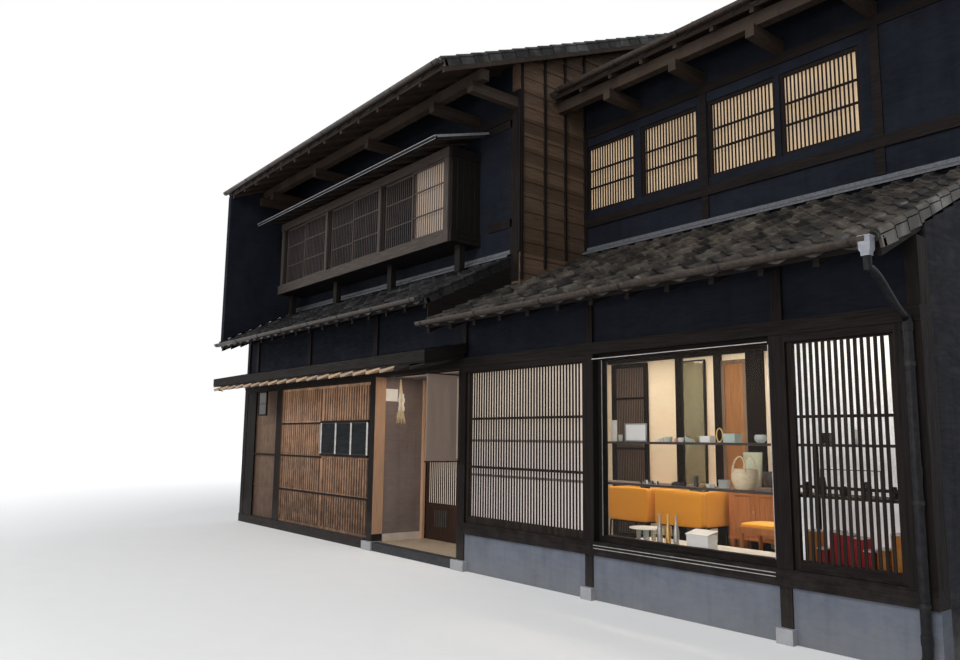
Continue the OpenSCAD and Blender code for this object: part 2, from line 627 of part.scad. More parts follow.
gutter_wall = 4;
module gutter(x0, x1, y, z) translate([x0, y, z]) rotate([90, 0, 90]) difference() {
    cylinder(h = x1 - x0, d = gutter_dia);
    translate([0, 0, gutter_wall]) cylinder(h = x1 - x0 - 2 * gutter_wall, d = gutter_dia - 2 * gutter_wall);
    translate([-gutter_dia, 0, -1]) cube([2 * gutter_dia, gutter_dia, x1 - x0 + 2]);
}
gutter_drop = 60;
pent_gutter_y = -eave_d - gutter_dia / 2;
module gutters() color([0.33, 0.27, 0.20]) place() {
    gutter(x_left, x_pent_split - 40, pent_gutter_y, pent_left_z - gutter_drop);
    gutter(x_pent_split, x_right - 150, pent_gutter_y, pent_right_z - gutter_drop);
    gutter(x_left, x_verge, pent_gutter_y, main_left_z - gutter_drop);
    gutter(x_verge + 30, x_right, range_eave_y - gutter_dia / 2, main_right_z - gutter_drop);
    gutter(x_left, x_verge, y_back - gutter_dia / 2, main_left_z - gutter_drop);
    gutter(x_verge + 30, x_right, y_back - gutter_dia / 2, roof_right(house_d + eave_d) - gutter_drop);
}

hopper_w = 130;
pipe_x = x_right - 70;
pipe_y = beam_face - touch - pipe_dia / 2;
module rain_pipe() color([0.30, 0.24, 0.20]) place() {
    block(x_right - hopper_w - 5, x_right - 5, pent_gutter_y - 50, pent_gutter_y + 50,
          pent_right_z - gutter_drop - 140, pent_right_z - gutter_drop + 20);
    translate([pipe_x, pipe_y, 0]) cylinder(h = band_z - 100, d = pipe_dia);
    translate([pipe_x, pipe_y, band_z - 100]) sphere(d = pipe_dia);
    hull() {
        translate([pipe_x, pipe_y, band_z - 100]) sphere(d = pipe_dia - 2, $fn = 16);
        translate([pipe_x, pent_gutter_y, pent_right_z - gutter_drop - 130]) sphere(d = pipe_dia - 2, $fn = 16);
    }
}

wing_wall_t = 120;
wing_post_out = 12;
bay_open_z0 = bay_z + bay_sill_h;
bay_open_z1 = bay_open_z0 + bay_leaf_h;
// A wall along the street whose top follows the roof over it
module front_wall_slab(x0, x1, y0, y1, z0, top0, top1)
    run_x(x0, x1, [[y0, z0], [y1, z0], [y1, top1], [y0, top0]]);
module wing_front_wall() color([0.12, 0.14, 0.19]) place() difference() {
    front_wall_slab(x_left + wall_t, x_wing - wing_side_t, wing_back, wing_back + wing_wall_t,
                    upper_floor_z, roof_left(wing_back) - roof_t, roof_left(wing_back + wing_wall_t) - roof_t);
    for (i = [0:2])
        block(bay_posts[i] + bay_post_w, bay_posts[i + 1], wing_back - 1, wing_back + wing_wall_t + 1,
              bay_open_z0, bay_open_z1);
}

frame_out = 18;
frame_post = 110;
keta_h = 150;
// Timbers that show on the wing's plaster: corner posts, two girts beside the bay and the wall plate
module wing_upper_frame() color([0.17, 0.14, 0.13]) place() {
    y0 = wing_back - frame_out;
    z0 = pent_left(wing_back) + flash_h + 5;
    z1 = roof_left(left_purlin_y) - roof_t - rafter_h - purlin_h - arm_h - touch;
    for (x = [x_left + fin_t + touch, x_wing - frame_post])
        block(x, x + frame_post, y0, wing_back - touch, z0, z1 - 110);
    block(x_left + fin_t + touch, x_wing, y0, wing_back - touch, z1 - 110, z1);
    girt_x = bay_x1 + 200 + touch;
    block(girt_x, x_wing - frame_post + 1, y0 + 4, wing_back - touch, bay_open_z1 + 300, bay_open_z1 + 400);
    block(girt_x, x_wing - frame_post + 1, y0 + 4, wing_back - touch, bay_open_z0 - 20, bay_open_z0 + 90);
}

// Timbers that show on the range's plaster: posts on the bay lines, sill and head beams
module range_upper_frame() color([0.17, 0.14, 0.13]) place() {
    y0 = range_back - frame_out;
    z0 = pent_right(range_back) + flash_h + 5;
    z1 = roof_right(right_purlin_y) - roof_t - rafter_h - purlin_h - arm_h - touch;
    for (x = [x_p2, x_p3])
        block(x - 44, x + 44, y0, range_back - touch, z0, z1 - 110);
    block(x_right - frame_post, x_right, y0, range_back - touch, z0, z1 - 110);
    block(x_wing + touch, x_wing + touch + frame_post / 2, y0, range_back - touch, z0, z1 - 110);
    block(x_wing + touch, x_right, y0, range_back - touch, z1 - 110, z1);
    block(x_wing + touch, x_right, y0 - 12, range_back - touch, range_win_z - 210, range_win_z - 95);
}

wing_side_t = 130;
module wing_side_wall() color([0.42, 0.29, 0.20]) place() run_x(x_wing - wing_side_t, x_wing, [
    [wing_back, upper_floor_z], [range_back, upper_floor_z], [range_back, roof_right(range_back) - roof_t],
    [ridge_y, roof_right(ridge_y) - roof_t], [house_d, roof_right(house_d) - roof_t],
    [house_d, roof_left(house_d) - roof_t], [ridge_y, roof_left(ridge_y) - roof_t],
    [wing_back, roof_left(wing_back) - roof_t],
]);

range_win_w = bay_w * 0.434;
range_win_1 = x_p1 + bay_w * 0.038;
range_win_3 = x_p2 + bay_w * 0.026;
range_wins = [
    range_win_1, range_win_1 + range_win_w + mullion_w, range_win_3, range_win_3 + range_win_w + mullion_w / 2,
];
module range_upper_wall() color([0.12, 0.13, 0.17]) place() difference() {
    front_wall_slab(x_wing, x_right - wall_t, range_back, range_back + wing_wall_t, upper_floor_z,
                    roof_right(range_back) - roof_t, roof_right(range_back + wing_wall_t) - roof_t);
    for (x = range_wins)
        block(x, x + range_win_w, range_back - 1, range_back + wing_wall_t + 1, range_win_z,
              range_win_z + range_win_h);
}
range_rails = [range_win_z + range_win_h * 0.36, range_win_z + range_win_h * 0.62];
module range_lattices() color([0.15, 0.11, 0.10]) place()
    for (x = range_wins)
        lattice(x, x + range_win_w, range_win_z, range_win_z + range_win_h, range_back + 15, bar_pitch, range_rails);

bay_face = wing_back - bay_out;
bay_frame_d = 110;
strut_y = bay_face + 180;
module bay_window_frame() color([0.36, 0.28, 0.23]) place() {
    block(bay_x0 - 40, bay_x1 + 40, bay_face - 20, wing_back, bay_z, bay_open_z0);
    block(bay_x0 - 20, bay_x1 + 20, bay_face - 10, wing_back, bay_open_z1, bay_open_z1 + bay_head_h);
    for (x = bay_posts) block(x, x + bay_post_w, bay_face, bay_face + bay_frame_d, bay_open_z0, bay_open_z1);
    for (x = [bay_x0, bay_x1 - 60])
        block(x, x + 60, bay_face + bay_frame_d, wing_back, bay_open_z0, bay_open_z1);
    for (x = bay_posts)
        run_x(x + 20, x + bay_post_w - 20, [
            [strut_y, pent_left(strut_y) + touch], [strut_y + 90, pent_left(strut_y + 90) + touch],
            [strut_y + 90, bay_z + 1], [strut_y, bay_z + 1],
        ]);
}
bay_rails = [bay_open_z0 + bay_leaf_h * 0.33, bay_open_z0 + bay_leaf_h * 0.68];
module bay_lattices() color([0.40, 0.32, 0.27]) place()
    for (i = [0:2])
        for (side = [0, 1])
            lattice(bay_posts[i] + bay_post_w + side * leaf_pair_w / 2,
                    bay_posts[i] + bay_post_w + (side + 1) * leaf_pair_w / 2 - side * 0.5 - 0.25,
                    bay_open_z0, bay_open_z1, bay_face + 15, bar_pitch_left, bay_rails);
hood_y = bay_face - 390;
hood_z = 5170;
hood_rise = 0.30;
hood_t = 45;
module bay_hood() color([0.45, 0.42, 0.40]) place() run_x(bay_x0 - 160, bay_x1 + 200, [
    [hood_y, hood_z], [wing_back, hood_z + hood_rise * (wing_back - hood_y)],
    [wing_back, hood_z + hood_rise * (wing_back - hood_y) + hood_t], [hood_y, hood_z + hood_t],
]);

screen_t = 6;
module paper_screens() color([0.95, 0.88, 0.72]) place() {
    for (i = [0:2])
        block(bay_posts[i] + bay_post_w, bay_posts[i + 1], bay_face + 70, bay_face + 70 + screen_t,
              bay_open_z0, bay_open_z1);
    for (x = range_wins)
        block(x, x + range_win_w, range_back + 80, range_back + 80 + screen_t, range_win_z,
              range_win_z + range_win_h);
    block(x_p1 + half, x_p2 - half, boarding_y + 20, boarding_y + 20 + screen_t, sill_z, lattice_top);
}

fin_front = -eave_d + 15;
module wing_fin_wall() color([0.12, 0.14, 0.19]) place() {
    run_x(x_left, x_left + fin_t, [
        [fin_front, pent_left(fin_front)], [wing_back, pent_left(wing_back)],
        [wing_back, roof_left(wing_back) - roof_t], [fin_front, roof_left(fin_front) - roof_t],
    ]);
}

module left_party_wall() color([0.16, 0.16, 0.18]) place() run_x(x_left, x_left + wall_t, [
    [wall_t, 0], [house_d, 0], [house_d, roof_left(house_d) - roof_t], [ridge_y, roof_left(ridge_y) - roof_t],
    [wing_back, roof_left(wing_back) - roof_t], [wing_back, pent_left(wing_back) - roof_t],
    [wall_t, pent_left(wall_t) - roof_t],
]);
module right_party_wall() color([0.16, 0.16, 0.18]) place() run_x(x_right - wall_t, x_right, [
    [wall_t, 0], [house_d, 0], [house_d, roof_right(house_d) - roof_t], [ridge_y, roof_right(ridge_y) - roof_t],
    [range_back, roof_right(range_back) - roof_t], [range_back, pent_right(range_back) - roof_t],
    [wall_t, pent_right(wall_t) - roof_t],
]);

rear_win_w = 1500;
rear_win_z = 1000;
rear_win_h = 1000;
rear_upper_z = 3900;
rear_wins = [
    x_left + (x_wing - x_left) / 4 - rear_win_w / 2, x_left + (x_wing - x_left) * 3 / 4 - rear_win_w / 2,
    x_wing + (x_right - x_wing) / 4 - rear_win_w / 2 + 60, x_wing + (x_right - x_wing) * 3 / 4 - rear_win_w / 2 - 60,
];
module rear_part(x0, x1, top_out, top_in) difference() {
    front_wall_slab(x0, x1, house_d - wall_t, house_d, plinth_h, top_in, top_out);
    for (x = rear_wins)
        for (z = [rear_win_z, rear_upper_z])
            block(x, x + rear_win_w, house_d - wall_t - 1, house_d + 1, z, z + rear_win_h);
}
module rear_walls() color([0.16, 0.16, 0.18]) place() {
    rear_part(x_left + wall_t, x_wing - wing_side_t, roof_left(house_d) - roof_t,
              roof_left(house_d - wall_t) - roof_t);
    rear_part(x_wing, x_right - wall_t, roof_right(house_d) - roof_t, roof_right(house_d - wall_t) - roof_t);
}
module rear_lattices() color([0.15, 0.11, 0.10]) place()
    for (x = rear_wins)
        for (z = [rear_win_z, rear_upper_z])
            lattice(x, x + rear_win_w, z, z + rear_win_h, house_d - 60, bar_pitch_left, [z + rear_win_h / 2]);

module upper_floor() color([0.50, 0.40, 0.30]) place()
    block(x_left + wall_t, x_right - wall_t, recess_back, house_d - wall_t, upper_floor_z - upper_floor_t,
          upper_floor_z);

board_w = 1365;
board_x0 = x_pe - half - 25 - board_w;
board_x1 = board_x0 + board_w;
board_z0 = 1180;
board_z1 = 1690;
module notice_board() color([0.10, 0.09, 0.09]) place()
    block(board_x0, board_x1, lattice_face - 40, lattice_face, board_z0, board_z1);

sign_x = 900;
sign_w = 320;
sign_y = -160;
sign_z0 = 1790;
sign_z1 = 2190;
module hanging_sign() color([0.24, 0.19, 0.12]) place()
    block(sign_x, sign_x + sign_w, sign_y - 15, sign_y + 15, sign_z0, sign_z1);

lamp_x = 60;
lamp_y = -noki_d + 65;
lamp_dia = 130;
lamp_neck = 50;
lamp_z = noki_z - 140;
module globe_lamp() color([0.98, 0.96, 0.90]) place() translate([lamp_x, lamp_y, lamp_z]) {
    sphere(d = lamp_dia);
    cylinder(h = noki_over(lamp_x, lamp_y, lamp_neck / 2) - lamp_z, d = lamp_neck);
}

rod_dia = 14;
banner_w = 450;
banner_z0 = 1200;
banner_z1 = 2170;
banner_x = x_p1 - half + 20;
module entrance_banner() color([0.74, 0.68, 0.62]) place()
    block(banner_x - 3, banner_x + 3, -banner_w - 30, -30, banner_z0, banner_z1);
module banner_brackets() color([0.12, 0.11, 0.11]) place() {
    for (z = [banner_z0 - rod_dia / 2 - touch, banner_z1 + rod_dia / 2 + touch])
        translate([banner_x, post_face, z]) rotate([90, 0, 0]) cylinder(h = banner_w + 30, d = rod_dia);
    for (x = [sign_x + 30, sign_x + sign_w - 30])
        translate([x, sign_y, sign_z1 + touch])
            cylinder(h = noki_over(x, sign_y, rod_dia / 2) - sign_z1 - touch, d = rod_dia);
}

plinth_walls();
ground_floor();
entrance_kerb();
post_footings();
front_posts();
sill_beams();
head_beams();
front_plaster();
left_lattices();
left_board_leaf();
left_boarding();
entrance_side_lattice();
right_end_lattice();
shop_window_frame();
shop_window_glass();
display_shelves();
shop_seats();
shop_back_wall();
side_cabinet();
recess_walls();
recess_door_frame();
sliding_door();
fixed_door();
board_eave();
board_eave_frame();
left_pent_roof();
right_pent_roof();
pent_rafters();
left_main_roof();
right_main_roof();
left_eave_frame();
right_eave_frame();
gutters();
rain_pipe();
wing_front_wall();
wing_upper_frame();
range_upper_frame();
wing_side_wall();
range_upper_wall();
range_lattices();
bay_window_frame();
bay_lattices();
bay_hood();
paper_screens();
wing_fin_wall();
left_party_wall();
right_party_wall();
rear_walls();
rear_lattices();
upper_floor();
notice_board();
hanging_sign();
globe_lamp();
entrance_banner();
banner_brackets();
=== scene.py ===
# %% [markdown]
# # A machiya townhouse, dressed for the camera
# A machiya is the timber townhouse of old Japanese streets: a lattice front, a thin board eave, tiled lower roofs
# and an upper storey set back behind them. The measured solids of the house come from the CAD frame. This lesson
# loads them, gives each one a finish, and puts finely made pieces where a plain solid can't show what is there.

# %% Load the measured frame
import math
import random
from itertools import product

import bmesh
import bpy
from mathutils import Matrix, Vector


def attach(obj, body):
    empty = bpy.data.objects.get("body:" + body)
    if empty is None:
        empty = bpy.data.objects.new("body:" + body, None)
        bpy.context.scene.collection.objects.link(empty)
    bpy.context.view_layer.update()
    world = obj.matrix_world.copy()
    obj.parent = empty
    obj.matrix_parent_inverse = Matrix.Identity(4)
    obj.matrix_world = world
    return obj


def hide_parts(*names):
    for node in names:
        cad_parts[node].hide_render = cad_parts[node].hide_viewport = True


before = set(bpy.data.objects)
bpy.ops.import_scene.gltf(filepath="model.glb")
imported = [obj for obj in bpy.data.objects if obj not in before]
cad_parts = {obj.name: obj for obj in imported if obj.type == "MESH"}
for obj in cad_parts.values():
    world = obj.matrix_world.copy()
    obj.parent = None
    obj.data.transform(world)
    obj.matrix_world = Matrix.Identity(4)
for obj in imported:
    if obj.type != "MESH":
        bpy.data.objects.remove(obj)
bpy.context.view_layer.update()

# %% [markdown]
# ## Street coordinates
# The carpenter's drawing of this house counts millimetres from the left end post, the street wall and the paving.
# The frame counts metres from the middle of the house. One small function turns the first into the second, so
# every number below can be read as a measure on the real building.

# %% From the drawing to the frame
MID_X, MID_Y = 5597.5, 4925.0


def place(x, y, z):
    """A point of the drawing, in millimetres, as a vector in the frame, in metres."""
    return Vector(((x - MID_X) / 1000, (y - MID_Y) / 1000, z / 1000))


LEFT_END, RIGHT_END = -66.0, 11261.0
print("the house reaches along the street, mm:", LEFT_END, RIGHT_END)

# %% [markdown]
# ## A workbench for meshes
# Most pieces of a building are boards, rods and turned or swept shapes. They could be made with Blender's own
# primitives and joined, which is slow for thousands of them. A small workbench that collects corners and faces
# and makes one mesh at the end is quicker, and it lets every member carry its own material.


# %% The workbench
def new_object(name, data):
    thing = bpy.data.objects.new(name, data)
    bpy.context.collection.objects.link(thing)
    return thing


def turns(count):
    """Angles that part a full turn evenly."""
    return [2 * math.pi * k / count for k in range(count)]


def half_turn(count, start=0.0):
    """Angles over half a turn, with both ends."""
    return [start + math.pi * k / count for k in range(count + 1)]


def round_about(x, y, radius, angles, squash=1.0):
    """Points on a circle, as pairs, or on an ellipse where squash isn't 1."""
    return [(x + radius * math.cos(t), y + radius * squash * math.sin(t)) for t in angles]


class Bench:
    """Collects closed shapes, given in millimetres of the drawing, for one mesh."""

    def __init__(self):
        self.corners, self.faces, self.inks = [], [], []

    def add(self, points, faces, ink=0):
        start = len(self.corners)
        self.corners += [place(*p) for p in points]
        self.faces += [tuple(start + i for i in face) for face in faces]
        self.inks += [ink] * len(faces)

    def box(self, x0, x1, y0, y1, z0, z1, ink=0):
        """A squared board or block."""
        points = [(x, y, z) for z in (z0, z1) for y in (y0, y1) for x in (x0, x1)]
        self.add(points, [(0, 2, 3, 1), (4, 5, 7, 6), (0, 1, 5, 4), (2, 6, 7, 3), (0, 4, 6, 2), (1, 3, 7, 5)], ink)

    def boxes(self, rows, ink=0):
        """Several blocks of one finish."""
        for row in rows:
            self.box(*row, ink)

    def loft(self, rings, ink=0, closed=False):
        """A skin over rings of points, with flat ends, or joined end to end where closed is true."""
        n, count = len(rings[0]), len(rings)
        points = [p for ring in rings for p in ring]
        faces = []
        for r in range(count if closed else count - 1):
            a, b = r * n, (r + 1) % count * n
            faces += [(a + i, a + (i + 1) % n, b + (i + 1) % n, b + i) for i in range(n)]
        if not closed:
            faces += [tuple(reversed(range(n))), tuple(range((count - 1) * n, count * n))]
        self.add(points, faces, ink)

    def prism_x(self, x0, x1, outline, ink=0):
        """An outline of (y, z) pairs, drawn out along the street."""
        self.loft([[(x, y, z) for y, z in outline] for x in (x0, x1)], ink)

    def prism_y(self, y0, y1, outline, ink):
        """An outline of (x, z) pairs, drawn out into the house."""
        self.loft([[(x, y, z) for x, z in outline] for y in (y0, y1)], ink)

    def tube(self, path, radius, sides, ink=0, closed=False):
        """A round bar or pipe along a path of points; radius may be one number or one for each point."""
        path = [Vector(p) for p in path]
        last = len(path) - 1
        radii = radius if isinstance(radius, (list, tuple)) else [radius] * len(path)
        rings, across = [], None
        for i, p in enumerate(path):
            before = path[(i - 1) % len(path)] if closed else path[max(i - 1, 0)]
            after = path[(i + 1) % len(path)] if closed else path[min(i + 1, last)]
            along = (after - before).normalized()
            if across is None:
                across = along.orthogonal().normalized()
            across = (across - along * across.dot(along)).normalized()
            other = along.cross(across)
            rings.append([tuple(p + radii[i] * (math.cos(t) * across + math.sin(t) * other)) for t in turns(sides)])
        self.loft(rings, ink, closed)

    def turned(self, x, y, outline, sides, ink=0):
        """A turned shape on an upright axis, from (radius, height) pairs listed upwards."""
        self.loft([[(px, py, z) for px, py in round_about(x, y, r, turns(sides))] for r, z in outline], ink)

    def piece(self, name, materials, slot, body="house", stands_for=(), bevel=0.0, smooth=None, segments=1):
        """Makes the mesh, and says what it rides on and what it replaces. slot is not used."""
        mesh = bpy.data.meshes.new(name)
        mesh.from_pydata(self.corners, [], self.faces)
        materials = materials if isinstance(materials, (list, tuple)) else [materials]
        for material in materials:
            mesh.materials.append(material)
        mesh.polygons.foreach_set("material_index", self.inks)
        work = bmesh.new()
        work.from_mesh(mesh)
        bmesh.ops.recalc_face_normals(work, faces=work.faces)
        work.to_mesh(mesh)
        work.free()
        thing = new_object(name, mesh)
        if smooth:
            mesh.polygons.foreach_set("use_smooth", [True] * len(mesh.polygons))
            mesh.set_sharp_from_angle(angle=math.radians(smooth))
        if bevel:
            soften(thing, bevel, segments)
        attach(thing, body)
        if stands_for:
            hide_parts(*stands_for)
        print(name, "-", len(mesh.polygons), "faces")
        return thing


def soften(thing, width, segments=1):
    """Rounds the edges of a piece by a few millimetres, as a hand plane or a mould does."""
    edge = thing.modifiers.new("softened_edges", "BEVEL")
    edge.width, edge.segments = width / 1000, segments
    edge.limit_method, edge.angle_limit = "ANGLE", math.radians(50)


print("workbench ready")

# %% [markdown]
# ## Writing shaders in a few words
# A shader is a graph of nodes. A graph here has one short word for each kind of node that the house needs, so a
# finish reads as a recipe. An effect such as grain is a node group with named inputs and outputs, built once and
# used by many materials, each with its own values.


# %% A shader graph
class Graph:
    """A shader graph. Every method adds one node, and gives its output."""

    def __init__(self, tree):
        self.tree = tree

    def feed(self, socket, source):
        """Wires a socket to another one, or gives it a constant. A colour may leave out its alpha."""
        if isinstance(source, bpy.types.NodeSocket):
            self.tree.links.new(source, socket)
        else:
            socket.default_value = (*source, 1.0) if socket.type == "RGBA" and len(source) == 3 else source

    def node(self, kind, wires=None, **settings):
        """Adds a node. wires gives an input's name or number and what feeds it."""
        made = self.tree.nodes.new("ShaderNode" + kind)
        for key, value in settings.items():
            setattr(made, key, value)
        for key, source in (wires or {}).items():
            self.feed(made.inputs[key], source)
        return made

    def maths(self, operation, a, b, clamp=False):
        return self.node("Math", {0: a, 1: b}, operation=operation, use_clamp=clamp).outputs[0]

    def times(self, a, b, clamp=False):
        return self.maths("MULTIPLY", a, b, clamp)

    def plus(self, a, b, clamp=False):
        return self.maths("ADD", a, b, clamp)

    def minus(self, a, b, clamp=False):
        return self.maths("SUBTRACT", a, b, clamp)

    def vectors(self, operation, a, b, output=0):
        return self.node("VectorMath", {0: a, 1: b}, operation=operation).outputs[output]

    def scaled(self, colour, amount):
        return self.node("VectorMath", {0: colour, "Scale": amount}, operation="SCALE").outputs[0]

    def blend(self, amount, a, b):
        """Mixes two colours by an amount."""
        return self.node("Mix", {0: amount, 6: a, 7: b}, data_type="RGBA").outputs[2]

    def spread(self, value, low, high, out_low=0.0, out_high=1.0):
        """Maps a range of values to another, clamped."""
        return self.node("MapRange", {0: value, 1: low, 2: high, 3: out_low, 4: out_high}).outputs[0]

    def noise(self, spot, scale, detail=2.0, rough=0.5, distort=0.0):
        return self.node("TexNoise", {"Vector": spot, "Scale": scale, "Detail": detail, "Roughness": rough,
                                      "Distortion": distort}).outputs[0]

    def height(self, spot):
        return self.node("SeparateXYZ", {0: spot}).outputs[2]


class Group(Graph):
    """A node group. takes gives each input its first value: a number, a vector of 3 or a colour of 4."""

    def __init__(self, name, takes, gives):
        super().__init__(bpy.data.node_groups.new(name, "ShaderNodeTree"))
        kinds = {1: "NodeSocketFloat", 3: "NodeSocketVector", 4: "NodeSocketColor"}
        for label, value in takes.items():
            kind = kinds[len(value) if isinstance(value, tuple) else 1]
            self.tree.interface.new_socket(label, in_out="INPUT", socket_type=kind).default_value = value
        for label, count in gives.items():
            self.tree.interface.new_socket(label, in_out="OUTPUT", socket_type=kinds[count])
        self.given = self.tree.nodes.new("NodeGroupInput").outputs
        self.result = self.tree.nodes.new("NodeGroupOutput").inputs
        self.spot = self.given["Coordinates"]
        print("group:", name)

    def give(self, **sockets):
        for label, socket in sockets.items():
            self.feed(self.result[label], socket)
        print("group made:", self.tree.name)


NOWHERE = (0.0, 0.0, 0.0)
print("shader helpers ready")

# %% [markdown]
# ## Grain
# Sawn softwood shows long, slightly wavy fibres along the member, and each member has a tone of its own. Noise
# that is squeezed along one axis draws the fibres. A second noise, read once for each member by snapping the
# coordinates to the members' spacing, gives each bar or board its tone. A wood photograph would repeat on so many
# members, and noise doesn't.

# %% Group: timber grain
grain = Group("Timber grain", {
    "Coordinates": NOWHERE, "Squeeze": (1, 1, 0.05), "Member": (0.1, 0.1, 9), "Fibre Scale": 90.0,
    "Pale": (0.3, 0.2, 0.14, 1), "Deep": (0.1, 0.07, 0.05, 1), "Member Contrast": 0.35},
    {"Color": 4, "Roughness": 1, "Height": 1})
g_in = grain.given
member = grain.vectors("SNAP", grain.spot, g_in["Member"])
member_tone = grain.node("TexWhiteNoise", {"Vector": member}, noise_dimensions="3D").outputs
along_fibres = grain.vectors("ADD", grain.vectors("MULTIPLY", grain.spot, g_in["Squeeze"]), member_tone["Color"])
fibres = grain.noise(along_fibres, g_in["Fibre Scale"], 5.0, 0.65, 0.4)
figure = grain.noise(along_fibres, grain.times(g_in["Fibre Scale"], 0.14), distort=1.6)
waves = grain.node("Math", {0: grain.times(figure, 34.0)}, operation="SINE").outputs[0]
rings = grain.spread(waves, -1.0, 1.0, 0.35, 0.65)
streak = grain.spread(grain.plus(grain.times(fibres, 0.65), grain.times(rings, 0.35)), 0.32, 0.68)
shift = grain.minus(grain.spread(member_tone["Value"], 0.0, 1.0, 0.72, 1.28), 1.0)
tone = grain.plus(1.0, grain.times(shift, grain.times(g_in["Member Contrast"], 2.0)))
grain.give(Color=grain.scaled(grain.blend(streak, g_in["Deep"], g_in["Pale"]), tone),
           Roughness=grain.spread(streak, 0.0, 1.0, 0.72, 0.52), Height=streak)

# %% [markdown]
# ## Worn edges
# Corners of posts, lattice bars and kerbs are rubbed paler than their faces. The Bevel node gives the normal that
# a rounded corner would have; where it differs from the true normal there is an edge. Pointiness would need a very
# fine mesh to say the same.

# %% Group: worn edges
worn = Group("Worn edges", {"Coordinates": NOWHERE, "Width": 0.006, "Patch Scale": 9.0}, {"Mask": 1})
rounded = worn.node("Bevel", {"Radius": worn.given["Width"]}, samples=3).outputs[0]
true_normal = worn.node("NewGeometry").outputs["Normal"]
edge_mask = worn.spread(worn.vectors("DOT_PRODUCT", rounded, true_normal, "Value"), 0.995, 0.86)
patches = worn.spread(worn.noise(worn.spot, worn.given["Patch Scale"], 4.0), 0.38, 0.62)
worn.give(Mask=worn.times(edge_mask, patches, clamp=True))

# %% [markdown]
# ## Splash, dust and painted shade
# Rain throws street dust at the foot of a house, so the lowest half metre is greyer and duller. A mask that falls
# off with height, broken up by noise, serves the plinth, the footings, the posts and the kerb alike. Given a reach
# of two metres and a dark colour, the same mask paints shade on the lamp-lit left lattices and the board leaf,
# darker towards the foot.

# %% Group: street splash and painted shade at the foot
splash_and_shade = Group("Street splash", {"Coordinates": NOWHERE, "Foot": 0.0, "Reach": 0.5}, {"Mask": 1})
ragged = splash_and_shade.spread(splash_and_shade.noise(splash_and_shade.spot, 7.0, 6.0, 0.7), 0.3, 0.7, -0.35, 0.35)
climb = splash_and_shade.maths("DIVIDE", splash_and_shade.minus(splash_and_shade.height(splash_and_shade.spot), splash_and_shade.given["Foot"]), splash_and_shade.given["Reach"])
speckle = splash_and_shade.spread(splash_and_shade.noise(splash_and_shade.spot, 160.0), 0.42, 0.6, 0.8, 1.0)
splash_and_shade.give(Mask=splash_and_shade.times(splash_and_shade.spread(splash_and_shade.plus(climb, ragged), 1.0, 0.0), speckle, clamp=True))

# %% [markdown]
# ## Trowelled faces
# Plaster and cement are pressed with a steel trowel. The face is cloudy in tone, has faint long arcs where the
# trowel turned, and fine sand shows between them. One group with two colours and a scale does for the navy plaster
# above the lattices, the pale cement plinth, the grey-mauve recess and the render of the sides.

# %% Group: trowelled face
trowel = Group("Trowelled face", {
    "Coordinates": NOWHERE, "Light": (0.6, 0.6, 0.6, 1), "Dark": (0.4, 0.4, 0.4, 1), "Cloud Scale": 2.2,
    "Sand": 0.5, "Streaks": 0.3}, {"Color": 4, "Roughness": 1, "Height": 1})
t_in = trowel.given
clouds = trowel.spread(trowel.noise(trowel.spot, t_in["Cloud Scale"], 7.0, 0.62, 0.3), 0.3, 0.7)
arcs = trowel.noise(trowel.vectors("MULTIPLY", trowel.spot, (1.0, 1.0, 5.5)), 2.6, 3.0, distort=2.4)
rain = trowel.spread(trowel.noise(trowel.vectors("MULTIPLY", trowel.spot, (9.0, 9.0, 0.5)), 1.6, 4.0), 0.5, 0.75)
grit = trowel.spread(trowel.noise(trowel.spot, 420.0), 0.35, 0.65, -0.5, 0.5)
cloudy = trowel.plus(trowel.times(clouds, 0.82), trowel.times(trowel.spread(arcs, 0.35, 0.65), 0.18))
cloudy = trowel.minus(cloudy, trowel.times(t_in["Streaks"], rain), clamp=True)
sandy = trowel.plus(1.0, trowel.times(grit, trowel.times(t_in["Sand"], 0.25)))
relief = trowel.plus(trowel.times(arcs, 0.35), trowel.times(trowel.times(grit, t_in["Sand"]), 0.25))
trowel.give(Color=trowel.scaled(trowel.blend(cloudy, t_in["Dark"], t_in["Light"]), sandy),
            Roughness=trowel.spread(arcs, 0.3, 0.7, 0.92, 0.7), Height=relief)

# %% [markdown]
# ## Smoked clay
# The tiles are fired in smoke, which leaves a dark silver-grey skin. No two tiles match: a tone for each tile comes
# from snapping the coordinates to the courses, and soft clouds and pale specks of lichen and dust lie over that. On
# the pent roof the pale end of that tone is a warm light colour that paints highlights of lit windows on the pans.

# %% Group: smoked clay
smoked = Group("Smoked clay", {
    "Coordinates": NOWHERE, "Tile": (0.28, 0.22, 9.0), "Light": (0.3, 0.3, 0.31, 1), "Dark": (0.11, 0.11, 0.12, 1),
    "Lichen": 0.3}, {"Color": 4, "Roughness": 1, "Height": 1})
k_in = smoked.given
cell = smoked.vectors("SNAP", smoked.spot, k_in["Tile"])
tile_tone = smoked.node("TexWhiteNoise", {"Vector": cell}, noise_dimensions="3D").outputs["Value"]
smoke, fine = smoked.noise(smoked.spot, 5.0, 7.0, 0.6), smoked.noise(smoked.spot, 110.0, 3.0)
shade = smoked.plus(smoked.times(tile_tone, 0.45), smoked.times(smoked.spread(smoke, 0.3, 0.7), 0.55))
clay = smoked.blend(smoked.maths("POWER", shade, 2.2), k_in["Dark"], k_in["Light"])
patchy = smoked.times(smoked.spread(smoke, 0.5, 0.7), k_in["Lichen"])
lichen = smoked.times(smoked.spread(fine, 0.6, 0.72), patchy, clamp=True)
smoked.give(Color=smoked.blend(lichen, clay, (0.42, 0.43, 0.38)),
            Roughness=smoked.plus(smoked.spread(shade, 0.0, 1.0, 0.38, 0.54), smoked.times(lichen, 0.35)),
            Height=smoked.plus(smoked.times(fine, 0.5), smoke))

# %% [markdown]
# ## Weave
# The banner and the chair covers are plain woven cloth. Wave textures at right angles make warp and weft, and a
# soft noise makes the slubs of hand-spun yarn.

